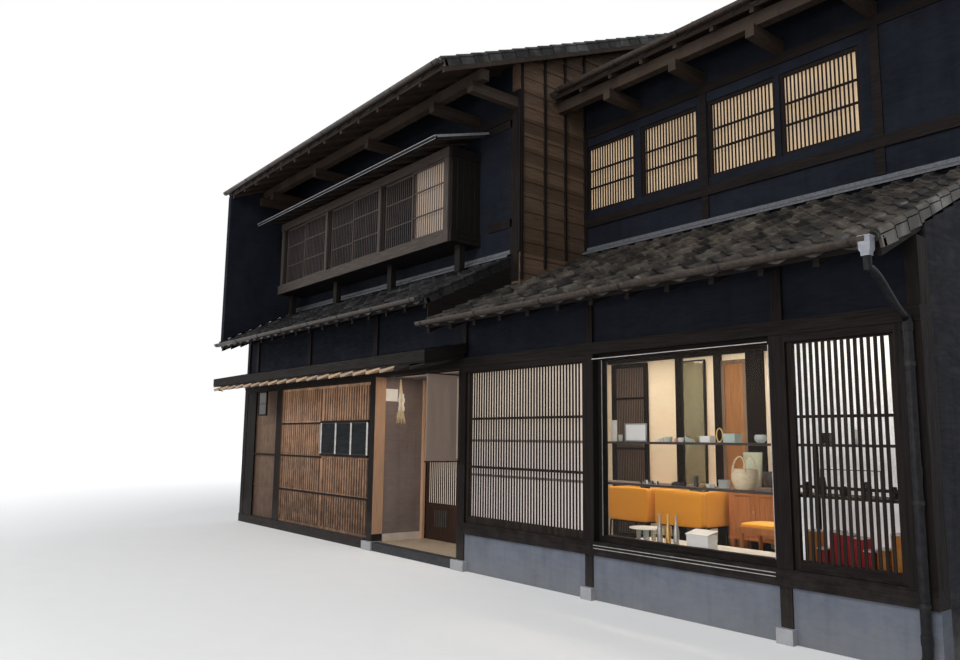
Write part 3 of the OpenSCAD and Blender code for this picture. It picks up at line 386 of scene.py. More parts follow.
# %% Group: plain weave
weave = Group("Plain weave", {
    "Coordinates": NOWHERE, "Threads": 260.0, "Light": (0.8, 0.7, 0.6, 1), "Dark": (0.6, 0.5, 0.4, 1)},
    {"Color": 4, "Height": 1})
warp_x, warp_y, weft = [
    weave.node("TexWave", {"Vector": weave.spot, "Scale": weave.given["Threads"], "Distortion": 0.4},
               wave_type="BANDS", bands_direction=axis).outputs[1] for axis in "XYZ"]
slub = weave.times(weave.noise(weave.spot, 30.0, 5.0), 0.6)
threads = weave.plus(weave.times(weave.maths("MAXIMUM", warp_x, warp_y), 0.5), weave.times(weft, 0.5))
yarn_mix = weave.plus(weave.times(threads, 0.4), slub, clamp=True)
weave.give(Color=weave.blend(yarn_mix, weave.given["Dark"], weave.given["Light"]), Height=threads)

# %% [markdown]
# ## What every finish has
# A finish is a material with its shader and the coordinates of the piece. Rubbed edges, street dust at the foot,
# which on the lamp-lit lattice and board leaf is painted shade, and relief are wanted by several finishes, so they
# are words of their own here.


# %% A finish
class Finish(Graph):
    """A material, its graph and its shader."""

    def __init__(self, name):
        self.material = bpy.data.materials.new(name)
        self.material.use_nodes = True
        super().__init__(self.material.node_tree)
        self.shader = self.tree.nodes["Principled BSDF"].inputs
        self.spot = self.node("TexCoord").outputs["Object"]

    def use(self, group, values):
        """Places a group with its own values, and gives its outputs."""
        made = self.node("Group", node_tree=group.tree)
        for key, source in {"Coordinates": self.spot, **values}.items():
            self.feed(made.inputs[key], source)
        return made.outputs

    def rubbed(self, colour, amount, width, patch, bare):
        mask = self.use(worn, {"Width": width, "Patch Scale": patch})["Mask"]
        return self.blend(self.times(mask, amount), colour, bare)

    # Blends the foot towards a colour: street dust for most finishes, painted shade for the lamp-lit lattice and board
    # leaf.
    def dusted_and_shaded(self, colour, amount, reach, dust):
        mask = self.use(splash_and_shade, {"Reach": reach})["Mask"]
        return self.blend(self.times(mask, amount), colour, dust)

    def shade(self, values):
        for key, source in values.items():
            self.feed(self.shader[key], source)

    def done(self, values, height, strength, distance):
        """Feeds the shader, and raises its surface by a height."""
        bumped = self.node("Bump", {"Height": height, "Strength": strength, "Distance": distance}).outputs[0]
        self.shade({**values, "Normal": bumped})
        return self.material


def paler(colour, factor, lift=0.0):
    return [min(1.0, factor * c + lift) for c in colour]


print("a finish can be begun")

# %% [markdown]
# ## Timber finishes
# The street front is stained nearly black, the doors are a weathered brown, and the underside of the board eave is
# bare pale wood. The left lattices are a pale warm brown that paints the globe lamp's light on them, with painted
# shade that darkens them towards the foot. All are the same recipe with other colours. The fibres have to run along
# the member, so each finish is made for members along the street (x), into the house (y) and upright (z).


# %% Timber recipe
SQUEEZE = {"x": (0.045, 1, 1), "y": (1, 0.045, 1), "z": (1, 1, 0.045)}
NO_JOINT = 9


def timber(name, along, pale, deep, member=(NO_JOINT,) * 3, contrast=0.35, edge=0.35, dusty=0.0, shine=0.12,
           reach=0.55, dust=(0.30, 0.28, 0.26)):
    """A stained or bare timber whose fibres run along x, y or z. member is the spacing that sets each one's tone."""
    look = Finish(name + "_" + along)
    wood = look.use(grain, {"Squeeze": SQUEEZE[along], "Member": member, "Pale": (*pale, 1), "Deep": (*deep, 1),
                            "Member Contrast": contrast})
    colour = look.rubbed(wood["Color"], edge, 0.005, 9.0, paler(pale, 1.7, 0.02))
    # The foot blends towards a colour: street dust on most timbers, painted shade on the lamp-lit lattice and board
    # leaf.
    if dusty:
        colour = look.dusted_and_shaded(colour, dusty, reach, dust)
    return look.done({"Base Color": colour, "Roughness": wood["Roughness"], "Specular IOR Level": shine},
                     wood["Height"], 0.5, 0.0012)


def timber_set(name, pale, deep, spacing=NO_JOINT, **more):
    """The same timber for members along x, y and z, in that order."""
    cells = {axis: [NO_JOINT if axis == other else spacing for other in "xyz"] for axis in "xyz"}
    return [timber(name, axis, pale, deep, cells[axis], **more) for axis in "xyz"]


plain = {"contrast": 0.0, "edge": 0.2}
BLACK = timber_set("dark_stained_timber", (0.018, 0.014, 0.013), (0.006, 0.005, 0.005), 0.21,
                   contrast=0.1, dusty=0.1, edge=0.2, shine=0.05)
BROWN = timber_set("weathered_brown_timber", (0.200, 0.145, 0.112), (0.095, 0.066, 0.050), 0.068, contrast=0.45)
BAY = timber_set("greyed_bay_timber", (0.078, 0.062, 0.054), (0.038, 0.030, 0.027), contrast=0.0)
EAVE = timber_set("eave_timber", (0.060, 0.042, 0.032), (0.026, 0.019, 0.015), 0.3)
DOOR = timber_set("dark_red_door_timber", (0.050, 0.027, 0.020), (0.021, 0.012, 0.009), contrast=0.0, shine=0.08)
BARE = timber_set("bare_pale_timber", (0.54, 0.40, 0.28), (0.34, 0.23, 0.15), **plain)
bar_black = timber("dark_lattice_bars", "z", (0.030, 0.022, 0.018), (0.011, 0.009, 0.008), (0.043, 9, 9),
                   contrast=0.5, shine=0.05)
bare_warm = timber("bare_warm_timber", "y", (0.58, 0.41, 0.27), (0.40, 0.27, 0.17), **plain)
bare_grey = timber("bare_grey_timber", "y", (0.46, 0.36, 0.27), (0.30, 0.22, 0.16), **plain)
# Painted lamp light: the recess faces of the posts and the jamb posts are this pale brown, raised to look lit.
lamp_lit_post_wood = timber("lamp_lit_brown_post_wood", "z", (0.56, 0.35, 0.225), (0.38, 0.225, 0.14), **plain)
panel_wood = timber("warm_panel_wood", "z", (0.30, 0.155, 0.07), (0.19, 0.09, 0.04), (0.18, 9, 9),
                    contrast=0.2, edge=0.2)
red_wood = timber("reddish_cabinet_wood", "z", (0.46, 0.20, 0.085), (0.28, 0.11, 0.045), (0.16, 9, 9),
                  contrast=0.2, edge=0.3)
# Painted light and shade: the pale warm brown is the globe lamp's light on the bars, and the near-black blend up 2.5 m
# is the shade that deepens towards the foot.
lit_lattice = timber("lamp_lit_lattice_timber", "z", (0.66, 0.385, 0.235), (0.40, 0.225, 0.135), (0.068, 9, 9),
                     contrast=0.4, dusty=0.95, reach=2.5, dust=(0.055, 0.034, 0.026))
# Board leaf: the dark blend up 2.2 m is painted shade, darker towards the foot, under the globe lamp.
leaf_boards = timber("brown_leaf_boards", "z", (0.22, 0.135, 0.084), (0.11, 0.065, 0.041), (0.25, 9, 9),
                     dusty=0.8, reach=2.2, dust=(0.060, 0.038, 0.030))
boards_brown = timber("wall_boards", "y", (0.150, 0.098, 0.064), (0.062, 0.040, 0.028), (9, 9, 0.197), contrast=0.6)
print("timber finishes made:", len(bpy.data.materials))

# %% [markdown]
# ## Plaster, cement, stone and clay
# The mineral finishes share the trowelled group. Each one differs in its two colours, in how coarse its sand is
# and in how far rain has streaked it. Glazed china has no streaks and a clear coat, and a tile a patchy one.


# %% Mineral finishes
def mineral(name, light, dark, clouds, sand=0.5, streaks=0.25, relief=0.5, dusty=0.0, edge=0.0, shine=0.2,
            coat=0.0, coat_rough=0.03):
    look = Finish(name)
    face = look.use(trowel, {"Light": (*light, 1), "Dark": (*dark, 1), "Cloud Scale": clouds, "Sand": sand,
                             "Streaks": streaks})
    colour = face["Color"]
    if edge:
        colour = look.rubbed(colour, edge, 0.008, 14.0, paler(light, 1.4, 0.05))
    if dusty:
        colour = look.dusted_and_shaded(colour, dusty, 0.5, (0.27, 0.25, 0.23))
    return look.done({"Base Color": colour, "Roughness": face["Roughness"], "Specular IOR Level": shine,
                      "Coat Weight": coat, "Coat Roughness": coat_rough}, face["Height"], relief, 0.002)


def smooth_face(name, light, dark, clouds, sand, relief, **more):
    """A mineral finish that no rain has reached."""
    return mineral(name, light, dark, clouds, sand, 0.0, relief, **more)


def glazed(name, light, dark, clouds, sand, coat_rough):
    """Glazed china or lacquer, under a clear coat."""
    return smooth_face(name, light, dark, clouds, sand, 0.05, coat=0.6, coat_rough=coat_rough)


navy = mineral("navy_plaster", (0.016, 0.0185, 0.027), (0.008, 0.0095, 0.014), 1.6, 0.6, shine=0.05)
cement = mineral("trowelled_cement", (0.155, 0.176, 0.222), (0.100, 0.116, 0.150), 2.6, 0.7, 0.35,
                 dusty=0.35, edge=0.4, shine=0.1)
footing_cement = mineral("pale_footing_cement", (0.48, 0.50, 0.54), (0.33, 0.35, 0.38), 9.0, 0.8, dusty=0.5, edge=0.5)
mauve = mineral("mauve_plaster", (0.235, 0.183, 0.168), (0.155, 0.119, 0.110), 1.8, dusty=0.3)
render_dark = mineral("dark_render", (0.040, 0.041, 0.048), (0.021, 0.021, 0.026), 1.1, 0.9, 0.6, dusty=0.5, shine=0.06)
pale_skirting = mineral("pale_skirting_cement", (0.74, 0.63, 0.55), (0.60, 0.50, 0.43), 5.0, 0.6, dusty=0.3)
cream = smooth_face("cream_plaster", (0.76, 0.69, 0.57), (0.66, 0.58, 0.47), 1.2, 0.25, 0.25)
screed = smooth_face("floor_screed", (0.52, 0.42, 0.31), (0.34, 0.27, 0.20), 40.0, 1.8, 0.5)
granite = smooth_face("sawn_granite", (0.050, 0.054, 0.064), (0.018, 0.020, 0.024), 60.0, 2.0, 0.5,
                      dusty=0.1, edge=0.4, shine=0.08)
plain_white = smooth_face("white_painted_board", (0.82, 0.81, 0.78), (0.74, 0.73, 0.70), 1.0, 0.1, 0.1)
white_china = glazed("white_china", (0.84, 0.83, 0.80), (0.76, 0.75, 0.72), 4.0, 0.05, 0.25)
rose_china = glazed("rose_china", (0.66, 0.34, 0.30), (0.52, 0.25, 0.22), 9.0, 0.1, 0.25)
celadon = glazed("celadon_glaze", (0.50, 0.58, 0.52), (0.38, 0.46, 0.41), 7.0, 0.05, 0.2)
dark_lacquer = glazed("dark_lacquer", (0.045, 0.038, 0.040), (0.022, 0.020, 0.022), 6.0, 0.1, 0.15)
red_paper = smooth_face("red_box_paper", (0.55, 0.035, 0.040), (0.40, 0.022, 0.028), 5.0, 0.3, 0.1)
orange_paper = smooth_face("orange_box_paper", (0.72, 0.30, 0.07), (0.58, 0.22, 0.05), 5.0, 0.3, 0.1)
plain_paper = smooth_face("plain_white_paper", (0.88, 0.87, 0.83), (0.78, 0.77, 0.73), 9.0, 0.3, 0.2)
straw_look = smooth_face("rice_straw", (0.90, 0.75, 0.52), (0.68, 0.53, 0.33), 70.0, 1.5, 0.9)
backing_shade = smooth_face("shelf_shadow", (0.34, 0.29, 0.265), (0.26, 0.22, 0.205), 5.0, 0.2, 0.5)
dark_pane = smooth_face("dark_glazed_pane", (0.016, 0.018, 0.020), (0.008, 0.009, 0.010), 3.0, 0.05, 0.03, shine=0.12)
paper_dark = smooth_face("unlit_screen_paper", (0.014, 0.014, 0.017), (0.008, 0.008, 0.010), 2.0, 0.3, 0.1, shine=0.04)


def clay_finish(name, tile, light, dark):
    look = Finish(name)
    skin = look.use(smoked, {"Tile": tile, "Light": (*light, 1), "Dark": (*dark, 1)})
    colour = look.rubbed(skin["Color"], 0.5, 0.004, 20.0, (0.13, 0.125, 0.12))
    glaze = look.spread(look.noise(look.spot, 3.2), 0.48, 0.66, 0.0, 0.5)
    return look.done({"Base Color": colour, "Roughness": skin["Roughness"], "Specular IOR Level": 0.14,
                      "Coat Weight": glaze, "Coat Roughness": 0.16}, skin["Height"], 0.35, 0.0015)


roof_clay = clay_finish("smoked_roof_clay", (0.295, 0.216, 9.0), (0.075, 0.074, 0.078), (0.011, 0.011, 0.012))
# Painted highlights: the warm pale light colour, with the tile-to-tile tone, paints glints of lit windows on the pans.
glinting_pent_clay = clay_finish("smoked_pent_clay_painted_glints", (0.275, 0.195, 9.0), (0.180, 0.152, 0.125), (0.009, 0.009, 0.010))
ridge_clay = clay_finish("smoked_ridge_clay", (0.25, 9.0, 0.045), (0.065, 0.066, 0.069), (0.013, 0.013, 0.014))
print("with the mineral and clay finishes:", len(bpy.data.materials))

# %% [markdown]
# ## Metal, glass, paper and light
# The gutters are painted a dark bronze brown that catches a highlight. The brackets are black iron. The shop glass
# is nearly clear by its alpha and shows more where light grazes it, so it stays clear in any light. The paper
# panels behind the lattices and the opal lamp glow, because the rooms behind them are lit. A bright panel glows
# fully for the room and dimly for the camera, or it would be a white blot.


# %% Metal, glass and paper finishes
def metal(name, light, dark, metallic, rough, scale=30.0, shine=0.5):
    look = Finish(name)
    cloud = look.noise(look.spot, scale, 5.0)
    colour = look.blend(look.spread(cloud, 0.35, 0.65), dark, light)
    return look.done({
        "Base Color": look.rubbed(colour, 0.4, 0.003, 25.0, paler(light, 2.2)),
        "Roughness": look.spread(look.noise(look.spot, 2.2, 3.0), 0.3, 0.7, rough, rough + 0.18),
        "Metallic": metallic, "Specular IOR Level": shine}, cloud, 0.15, 0.0006)


bronze_paint = metal("bronze_painted_gutter", (0.050, 0.037, 0.028), (0.022, 0.017, 0.014), 0.2, 0.34, shine=0.3)
pipe_paint = metal("dark_painted_pipe", (0.020, 0.020, 0.023), (0.010, 0.010, 0.011), 0.0, 0.24, shine=0.08)
pale_flashing = metal("dull_lead_flashing", (0.120, 0.126, 0.140), (0.075, 0.078, 0.086), 0.1, 0.5, shine=0.25)
hopper_metal = metal("pale_hopper_metal", (0.30, 0.31, 0.35), (0.23, 0.24, 0.27), 0.1, 0.4, shine=0.2)
black_iron = metal("black_iron", (0.030, 0.029, 0.028), (0.014, 0.013, 0.013), 0.8, 0.45, 60.0)
trim_metal = metal("window_trim_metal", (0.42, 0.41, 0.40), (0.30, 0.29, 0.28), 0.9, 0.28)
brass = metal("worn_brass", (0.62, 0.42, 0.16), (0.46, 0.29, 0.10), 0.95, 0.25)


def glass(name, tint, alpha):
    """Window glass: nearly clear where it is looked through, and glossy where light grazes it."""
    look = Finish(name)
    dust = look.noise(look.spot, 45.0, 6.0)
    rim = look.node("Fresnel", {"IOR": 1.45}).outputs[0]
    veil = look.plus(look.times(rim, 0.35), look.plus(alpha, look.times(dust, 0.03)), clamp=True)
    return look.done({"Base Color": look.blend(look.spread(dust, 0.4, 0.7), tint, paler(tint, 0.93)),
                      "Alpha": veil, "Roughness": 0.03}, look.noise(look.spot, 1.3, 1.0), 0.05, 0.002)


shop_glass = glass("clear_shop_glass", (0.050, 0.056, 0.060), 0.01)
pale_glass = glass("pale_blown_glass", (0.74, 0.80, 0.78), 0.30)
tinted_pane = glass("tinted_interior_pane", (0.30, 0.30, 0.21), 0.50)

BRIGHT, SEEN_GLOW = 5.0, 0.1


def glowing(name, light, dark, glow, strength, fibres=70.0, rough=0.8, low_glow=None):
    """Paper or opal glass with a light behind it, whose colour may change towards the foot of a wall."""
    look = Finish(name)
    pulp, cloud = look.noise(look.spot, fibres, 6.0, 0.7), look.noise(look.spot, 1.4)
    mixed = look.spread(look.plus(look.times(pulp, 0.12), look.times(cloud, 0.88)), 0.3, 0.64)
    shine = look.blend(mixed, paler(glow, 0.72), glow)
    if low_glow:
        rise = look.plus(look.height(look.spot), look.times(cloud, 1.2))
        shine = look.blend(look.spread(rise, 1.5, 2.3), low_glow, shine)
    if strength > BRIGHT:
        seen = look.node("LightPath").outputs["Is Camera Ray"]
        strength = look.minus(strength, look.times(seen, strength - SEEN_GLOW))
    return look.done({"Base Color": look.blend(mixed, dark, light), "Emission Color": shine,
                      "Emission Strength": strength, "Roughness": rough}, pulp, 0.2, 0.0008)


paper_glow = glowing("lit_screen_paper", (0.56, 0.42, 0.27), (0.40, 0.28, 0.17), (1.0, 0.73, 0.47), 0.42)
dim_paper = glowing("dimly_lit_paper", (0.32, 0.25, 0.20), (0.25, 0.19, 0.15), (1.0, 0.76, 0.58), 0.12)
door_paper = glowing("lit_door_paper", (0.66, 0.58, 0.49), (0.54, 0.46, 0.38), (1.0, 0.84, 0.68), 0.50)
# Painted light: the board behind the entrance lattice glows with the shop's light, greyer towards the foot.
glowing_shelf_backing = glowing("glowing_backing_board", (0.50, 0.44, 0.38), (0.38, 0.33, 0.30), (1.0, 0.82, 0.63), 0.46,
                        low_glow=(0.88, 0.76, 0.74))
white_glow = glowing("lit_white_panel", (0.80, 0.82, 0.85), (0.72, 0.75, 0.80), (0.97, 0.93, 0.92), 0.36, 20.0)
opal = glowing("opal_lamp_glass", (0.95, 0.92, 0.85), (0.92, 0.88, 0.80), (1.0, 0.90, 0.70), 1.3, 12.0, rough=0.15)
recess_light = glowing("recess_ceiling_light", (0.16, 0.12, 0.10), (0.10, 0.08, 0.07), (1.0, 0.85, 0.68), 10.0, 20.0)
ceiling_light = glowing("ceiling_light_panel", (0.95, 0.93, 0.88), (0.93, 0.90, 0.84), (1.0, 0.88, 0.70), 30.0, 20.0)


def cloth_finish(name, light, dark, threads, sheen):
    look = Finish(name)
    yarn = look.use(weave, {"Threads": threads, "Light": (*light, 1), "Dark": (*dark, 1)})
    return look.done({"Base Color": yarn["Color"], "Roughness": 0.9, "Sheen Weight": sheen, "Sheen Roughness": 0.5},
                     yarn["Height"], 0.35, 0.0008)


orange_cloth = cloth_finish("woven_orange_cloth", (0.84, 0.40, 0.035), (0.66, 0.28, 0.02), 200.0, 0.2)
banner_cloth = cloth_finish("plain_banner_cloth", (0.335, 0.250, 0.200), (0.255, 0.187, 0.148), 170.0, 0.15)
hem_cloth = cloth_finish("pale_hem_cloth", (0.68, 0.58, 0.42), (0.56, 0.47, 0.33), 170.0, 0.15)
orange_piping = cloth_finish("orange_piping_cord", (0.66, 0.25, 0.04), (0.46, 0.16, 0.03), 320.0, 0.3)
print("all finishes:", len(bpy.data.materials))

# %% [markdown]
# ## Giving the measured solids their finish
# Where the CAD solid already has the right shape, a new finish and slightly rounded edges are all it needs. A table
# of material, rounding in millimetres and nodes keeps this in one place. The rounding is a Bevel modifier, because
# sharp edges catch no light and give away a computer model.

# %% Dress the CAD nodes
FINISHES = [
    (cement, 6, "plinth_walls"), (footing_cement, 8, "post_footings"), (screed, 0, "ground_floor"),
    (granite, 8, "entrance_kerb"), (mauve, 3, "recess_walls"), (cream, 0, "shop_back_wall"),
    (navy, 0, "front_plaster wing_front_wall range_upper_wall"), (navy, 4, "wing_fin_wall"),
    (render_dark, 0, "left_party_wall right_party_wall rear_walls"), (boards_brown, 0, "wing_side_wall"),
    (BLACK[0], 4, "sill_beams head_beams range_upper_frame"), (BLACK[2], 4, "front_posts wing_upper_frame"),
    (BLACK[0], 3, "shop_window_frame board_eave_frame notice_board"), (BLACK[1], 3, "pent_rafters"),
    (BLACK[2], 1.5, "range_lattices"), (BROWN[0], 0, "left_boarding upper_floor"), (BROWN[0], 2, "display_shelves"),
    (BROWN[1], 2, "bay_hood"), (BROWN[2], 3, "side_cabinet hanging_sign"), (BROWN[2], 1.5, "rear_lattices"),
    (EAVE[1], 4, "left_eave_frame right_eave_frame"), (BARE[1], 2, "board_eave"),
    (BAY[0], 4, "bay_window_frame"), (BAY[2], 1.5, "bay_lattices"),
    (DOOR[2], 3, "recess_door_frame"), (DOOR[2], 1.5, "sliding_door fixed_door"),
    (lit_lattice, 1.5, "left_lattices"), (leaf_boards, 2, "left_board_leaf"),
    (bar_black, 1.5, "entrance_side_lattice right_end_lattice"), (shop_glass, 0, "shop_window_glass"),
    (roof_clay, 0, "left_main_roof right_main_roof"), (glinting_pent_clay, 0, "left_pent_roof right_pent_roof"),
    (bronze_paint, 0, "gutters rain_pipe"), (black_iron, 1, "banner_brackets"), (opal, 0, "globe_lamp"),
    (paper_glow, 0, "paper_screens"), (banner_cloth, 0, "entrance_banner"), (orange_cloth, 10, "shop_seats")]
dressed = 0
for finish, rounding, names in FINISHES:
    for name in names.split():
        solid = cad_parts[name]
        if not solid.material_slots:
            solid.data.materials.append(finish)
        for holder in solid.material_slots:
            holder.material = finish
        if rounding:
            soften(solid, rounding)
        dressed += 1
print("dressed", dressed, "of", len(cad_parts), "CAD nodes")

# %% [markdown]
# ## The roofs
# Each roof is a slope of smoked pantiles on boards. In the frame a roof is one solid slab, whose top is the height
# of the tiles and whose underside is the boards. Here the slab gives way to two pieces: the deck of boards, whose
# joints show from the street, and the skin of tiles. A texture of tiles would look flat at the eaves, where each
# one stands out against the sky, so every tile is modelled.

# %% Roof slopes
WING_BACK, RANGE_BACK, RIDGE_Y = 780.0, 1970.0, 4925.0
EAVE_Y, RANGE_EAVE_Y, REAR_EAVE = -530.0, 1310.0, 10380.0
WING_X, VERGE_X, SPLIT_X = 6336.0, 6486.0, 6204.0
MAIN_RISE, PENT_RISE, PENT_Z = 0.42, 0.45, 2800.0
LEFT_RIDGE_Z, RIGHT_RIDGE_Z = 8121.1, 7518.3
ROOF_T = 130.0


class Slope:
    """A roof slope from its eave at (y, z) to y_top, rising by `rise` for each millimetre of run."""

    def __init__(self, x0, x1, y_eave, z_eave, y_top, rise):
        self.x0, self.x1, self.y, self.z = x0, x1, y_eave, z_eave
        self.ahead = 1 if y_top > y_eave else -1
        stretch = math.hypot(1, rise)
        self.length = abs(y_top - y_eave) * stretch
        self.c, self.s = 1 / stretch, rise / stretch

    def at(self, x, up, out=0.0):
        """A point `up` the slope from the eave, and `out` from it at a right angle."""
        return (x, self.y + self.ahead * (up * self.c - out * self.s), self.z + up * self.s + out * self.c)

    def beam(self, bench, x0, x1, up0, up1, out0, out1, ink=0):
        """A board that lies in the slope."""
        bench.loft([[self.at(x, u, o) for u, o in ((up0, out0), (up1, out0), (up1, out1), (up0, out1))]
                    for x in (x0, x1)], ink)

    def loft(self, bench, ends):
        """A skin over outlines of (x, out) pairs, each one at its own height up the slope."""
        bench.loft([[self.at(x, up, out) for x, out in outline] for up, outline in ends])


left_main = [Slope(LEFT_END, VERGE_X, y, 5830, RIDGE_Y, MAIN_RISE) for y in (EAVE_Y, REAR_EAVE)]
right_main = [Slope(WING_X, RIGHT_END, y, z, RIDGE_Y, MAIN_RISE)
              for y, z in ((RANGE_EAVE_Y, 6000), (REAR_EAVE, 5227.2))]
left_pent = [Slope(LEFT_END, SPLIT_X, EAVE_Y, 3090, WING_BACK, 0.50)]
right_pent = [Slope(WING_X, RIGHT_END, EAVE_Y, PENT_Z, RANGE_BACK, PENT_RISE),
              Slope(SPLIT_X, WING_X, EAVE_Y, PENT_Z, WING_BACK, PENT_RISE)]
print("slopes, mm along:", [round(s.length) for s in left_main + right_main + left_pent + right_pent])

# %% [markdown]
# ## Roof decks
# From below one sees the roof boards, laid side by side across the rafters, and at the eave a heavier batten that
# lifts the first tiles. The boards are separate here, with a narrow gap between them, so that the gaps draw the
# dark lines that a flat underside lacks. A bargeboard closes the gable end that stands over the lower roof.

# %% Decks
DECK_BOARD, BARGE = 176.0, 34


def deck(name, slopes, finish, gable=None, bed=46.0):
    """Boards, a bed for the tiles and an eave batten. gable is where a bargeboard stands, bed how deep tiles lie."""
    bench = Bench()
    for slope in slopes:
        count = round(slope.length / DECK_BOARD)
        wide, x0, x1 = slope.length / count, slope.x0, slope.x1
        for i in range(count):
            slope.beam(bench, x0 + 6, x1 - 6, i * wide + 1.5, (i + 1) * wide - 1.5, -ROOF_T, -ROOF_T + 16)
        slope.beam(bench, x0 + 14, x1 - 14, 20, slope.length - 24, -ROOF_T + 18, -bed)
        slope.beam(bench, x0, x1, 0, 42, -ROOF_T, -bed + 6)
        slope.beam(bench, x0, x1, 2, 30, -bed + 8, -bed + 24)
        if gable:
            slope.beam(bench, gable - BARGE, gable, 0, slope.length - 4, -ROOF_T - 50, -34)
    bench.piece(name + "_deck", finish, "brown_timber", stands_for=[name + "_roof"], bevel=2)


deck("left_main", left_main, EAVE[0], VERGE_X - 2)
deck("right_main", right_main, EAVE[0])
deck("left_pent", left_pent, BLACK[0], bed=78.0)
deck("right_pent", right_pent, BLACK[0], bed=78.0)

# %% [markdown]
# ## Pantiles
# A pantile has a wide pan that carries the water and a roll that covers the joint with its neighbour. Its nose rests
# on the tile below, so each course is tipped a little and the noses draw a shadow line. Every tile is a closed
# shell, 15 mm thick, and is laid with a millimetre or two of play, as on a real roof. The first course ends in a
# hanging plate and a round boss that keep rain off the boards.

# %% Tile shapes
PAN_PART, ROLL_PART = 0.70, 0.30
STEPS = [0.0, 0.12, 0.24, 0.36, 0.48, 0.60, 0.70, 0.76, 0.82, 0.88, 0.94, 1.0]
THICK, TIP = 15.0, 20.0
BOSS = [(29, -9), (31, -15), (36, -15), (37, -9), (37, 12)]
print("a tile has", len(STEPS), "points across, and the pan is", PAN_PART, "of it")


def across(u, pan, roll):
    """The height of a pantile at u, from 0 to 1 across it."""
    if u < PAN_PART:
        return -pan * math.sin(math.pi * u / PAN_PART)
    return roll * math.sin(math.pi * (u - PAN_PART) / ROLL_PART)


def eave_tile(bench, slope, nose, plate, boss_x, top):
    """The hanging plate and the round boss of a tile in the first course."""
    upper = [(x, top + out - THICK + 4) for x, out in plate]
    lower = [(x, top + out - THICK - 40 + 10 * abs(i - 3) / 3) for i, (x, out) in enumerate(plate)]
    slope.loft(bench, [(up, upper + lower[::-1]) for up in (nose, nose + 14)])
    slope.loft(bench, [(nose + up, round_about(boss_x, top - 8, r, turns(16))) for r, up in BOSS])


def verge_tile(bench, slope, x, inward, a, b, top):
    """The hanging side and the rounded cap of one tile at a verge."""
    x0, x1 = sorted((x, x + 20 * inward))
    side = [(x0, top - 6), (x1, top - 6), (x1, top - 96), (x0, top - 96)]
    cap = [(x + inward * (30 + u), out) for u, out in round_about(0, top + 4, 30, half_turn(8))]
    cap += [(x, top - 14), (x + inward * 60, top - 14)]
    for outline, low, high in ((side, 4, -12), (cap, 3, -10)):
        slope.loft(bench, [(up, [(px, out + o) for px, out in outline]) for up, o in ((a, low), (b, high))])


# %% Tile skins
def tile_skin(name, slopes, pitch, course, material, verges, seed, pan=21.0, roll=27.0):
    """Lays every tile of a roof. verges are the edges where tiles hang over, with the way inward as 1 or -1."""
    bench, dice, laid = Bench(), random.Random(seed), 0
    top = -roll + 2
    for slope in slopes:
        columns = max(1, round((slope.x1 - slope.x0) / pitch))
        courses = round((slope.length - 30) / course)
        wide, step = (slope.x1 - slope.x0) / columns, (slope.length - 30) / courses
        for row in range(courses):
            foot = row * step
            for column in range(columns):
                x, lift = slope.x0 + column * wide, dice.uniform(-1.5, 1.5)
                play, turn = dice.uniform(-1.0, 1.0), dice.uniform(-1.5, 1.5)
                nose = foot - (26 if row == 0 else 0) + dice.uniform(-2, 2)
                tail = foot + min(step + 40, slope.length - foot - 4)
                ends = []
                for up, out in ((nose, 0.0), (tail, -TIP * 1.17)):
                    shape = [(x + play + 1 + u * (wide - 2) * 0.998, top + out + lift + u * turn + across(u, pan, roll))
                             for u in STEPS]
                    ends.append((up, shape + [(px, po - THICK) for px, po in reversed(shape)]))
                slope.loft(bench, ends)
                laid += 1
                if row == 0:
                    plate = [(x + play + 2 + u * (wide - 4), across(u, pan, roll)) for u in STEPS[:7]]
                    eave_tile(bench, slope, nose, plate, x + play + 0.85 * wide, top)
            for x, inward in verges:
                if slope.x0 - 1 < x < slope.x1 + 1:
                    verge_tile(bench, slope, x, inward, foot - (20 if row == 0 else 2), foot + step + 10, top)
    bench.piece(name + "_tiles", material, "roof_tile", stands_for=[name + "_roof"], smooth=38)
    print(name, "-", laid, "tiles laid")


tile_skin("left_main", left_main, 295, 235, roof_clay, [(VERGE_X, -1), (LEFT_END, 1)], 11)
tile_skin("right_main", right_main, 290, 235, roof_clay, [(RIGHT_END, -1)], 12)
tile_skin("left_pent", left_pent, 275, 215, roof_clay, [(LEFT_END, 1), (SPLIT_X, -1)], 13, 22, 36)
tile_skin("right_pent", right_pent, 275, 215, glinting_pent_clay, [(RIGHT_END, -1)], 14, 22, 36)

# %% [markdown]
# ## Ridges and flashings
# The ridge is a low wall of flat tiles, laid dry in courses that step inwards, under a row of half-round caps, and
# a plain shield tile closes each end. Where a lower roof meets a wall, a strip of dull metal is turned up against
# the wall and laid over the rolls, and throws the rain forward.

# %% Ridges
RIDGE_BED = ((-112, -52), (112, -52), (84, 30), (-84, 30))
COURSES = ((112, 30), (104, 62), (96, 94), (88, 126))
RIDGE_TILE, CAP_LENGTH = 280, 250


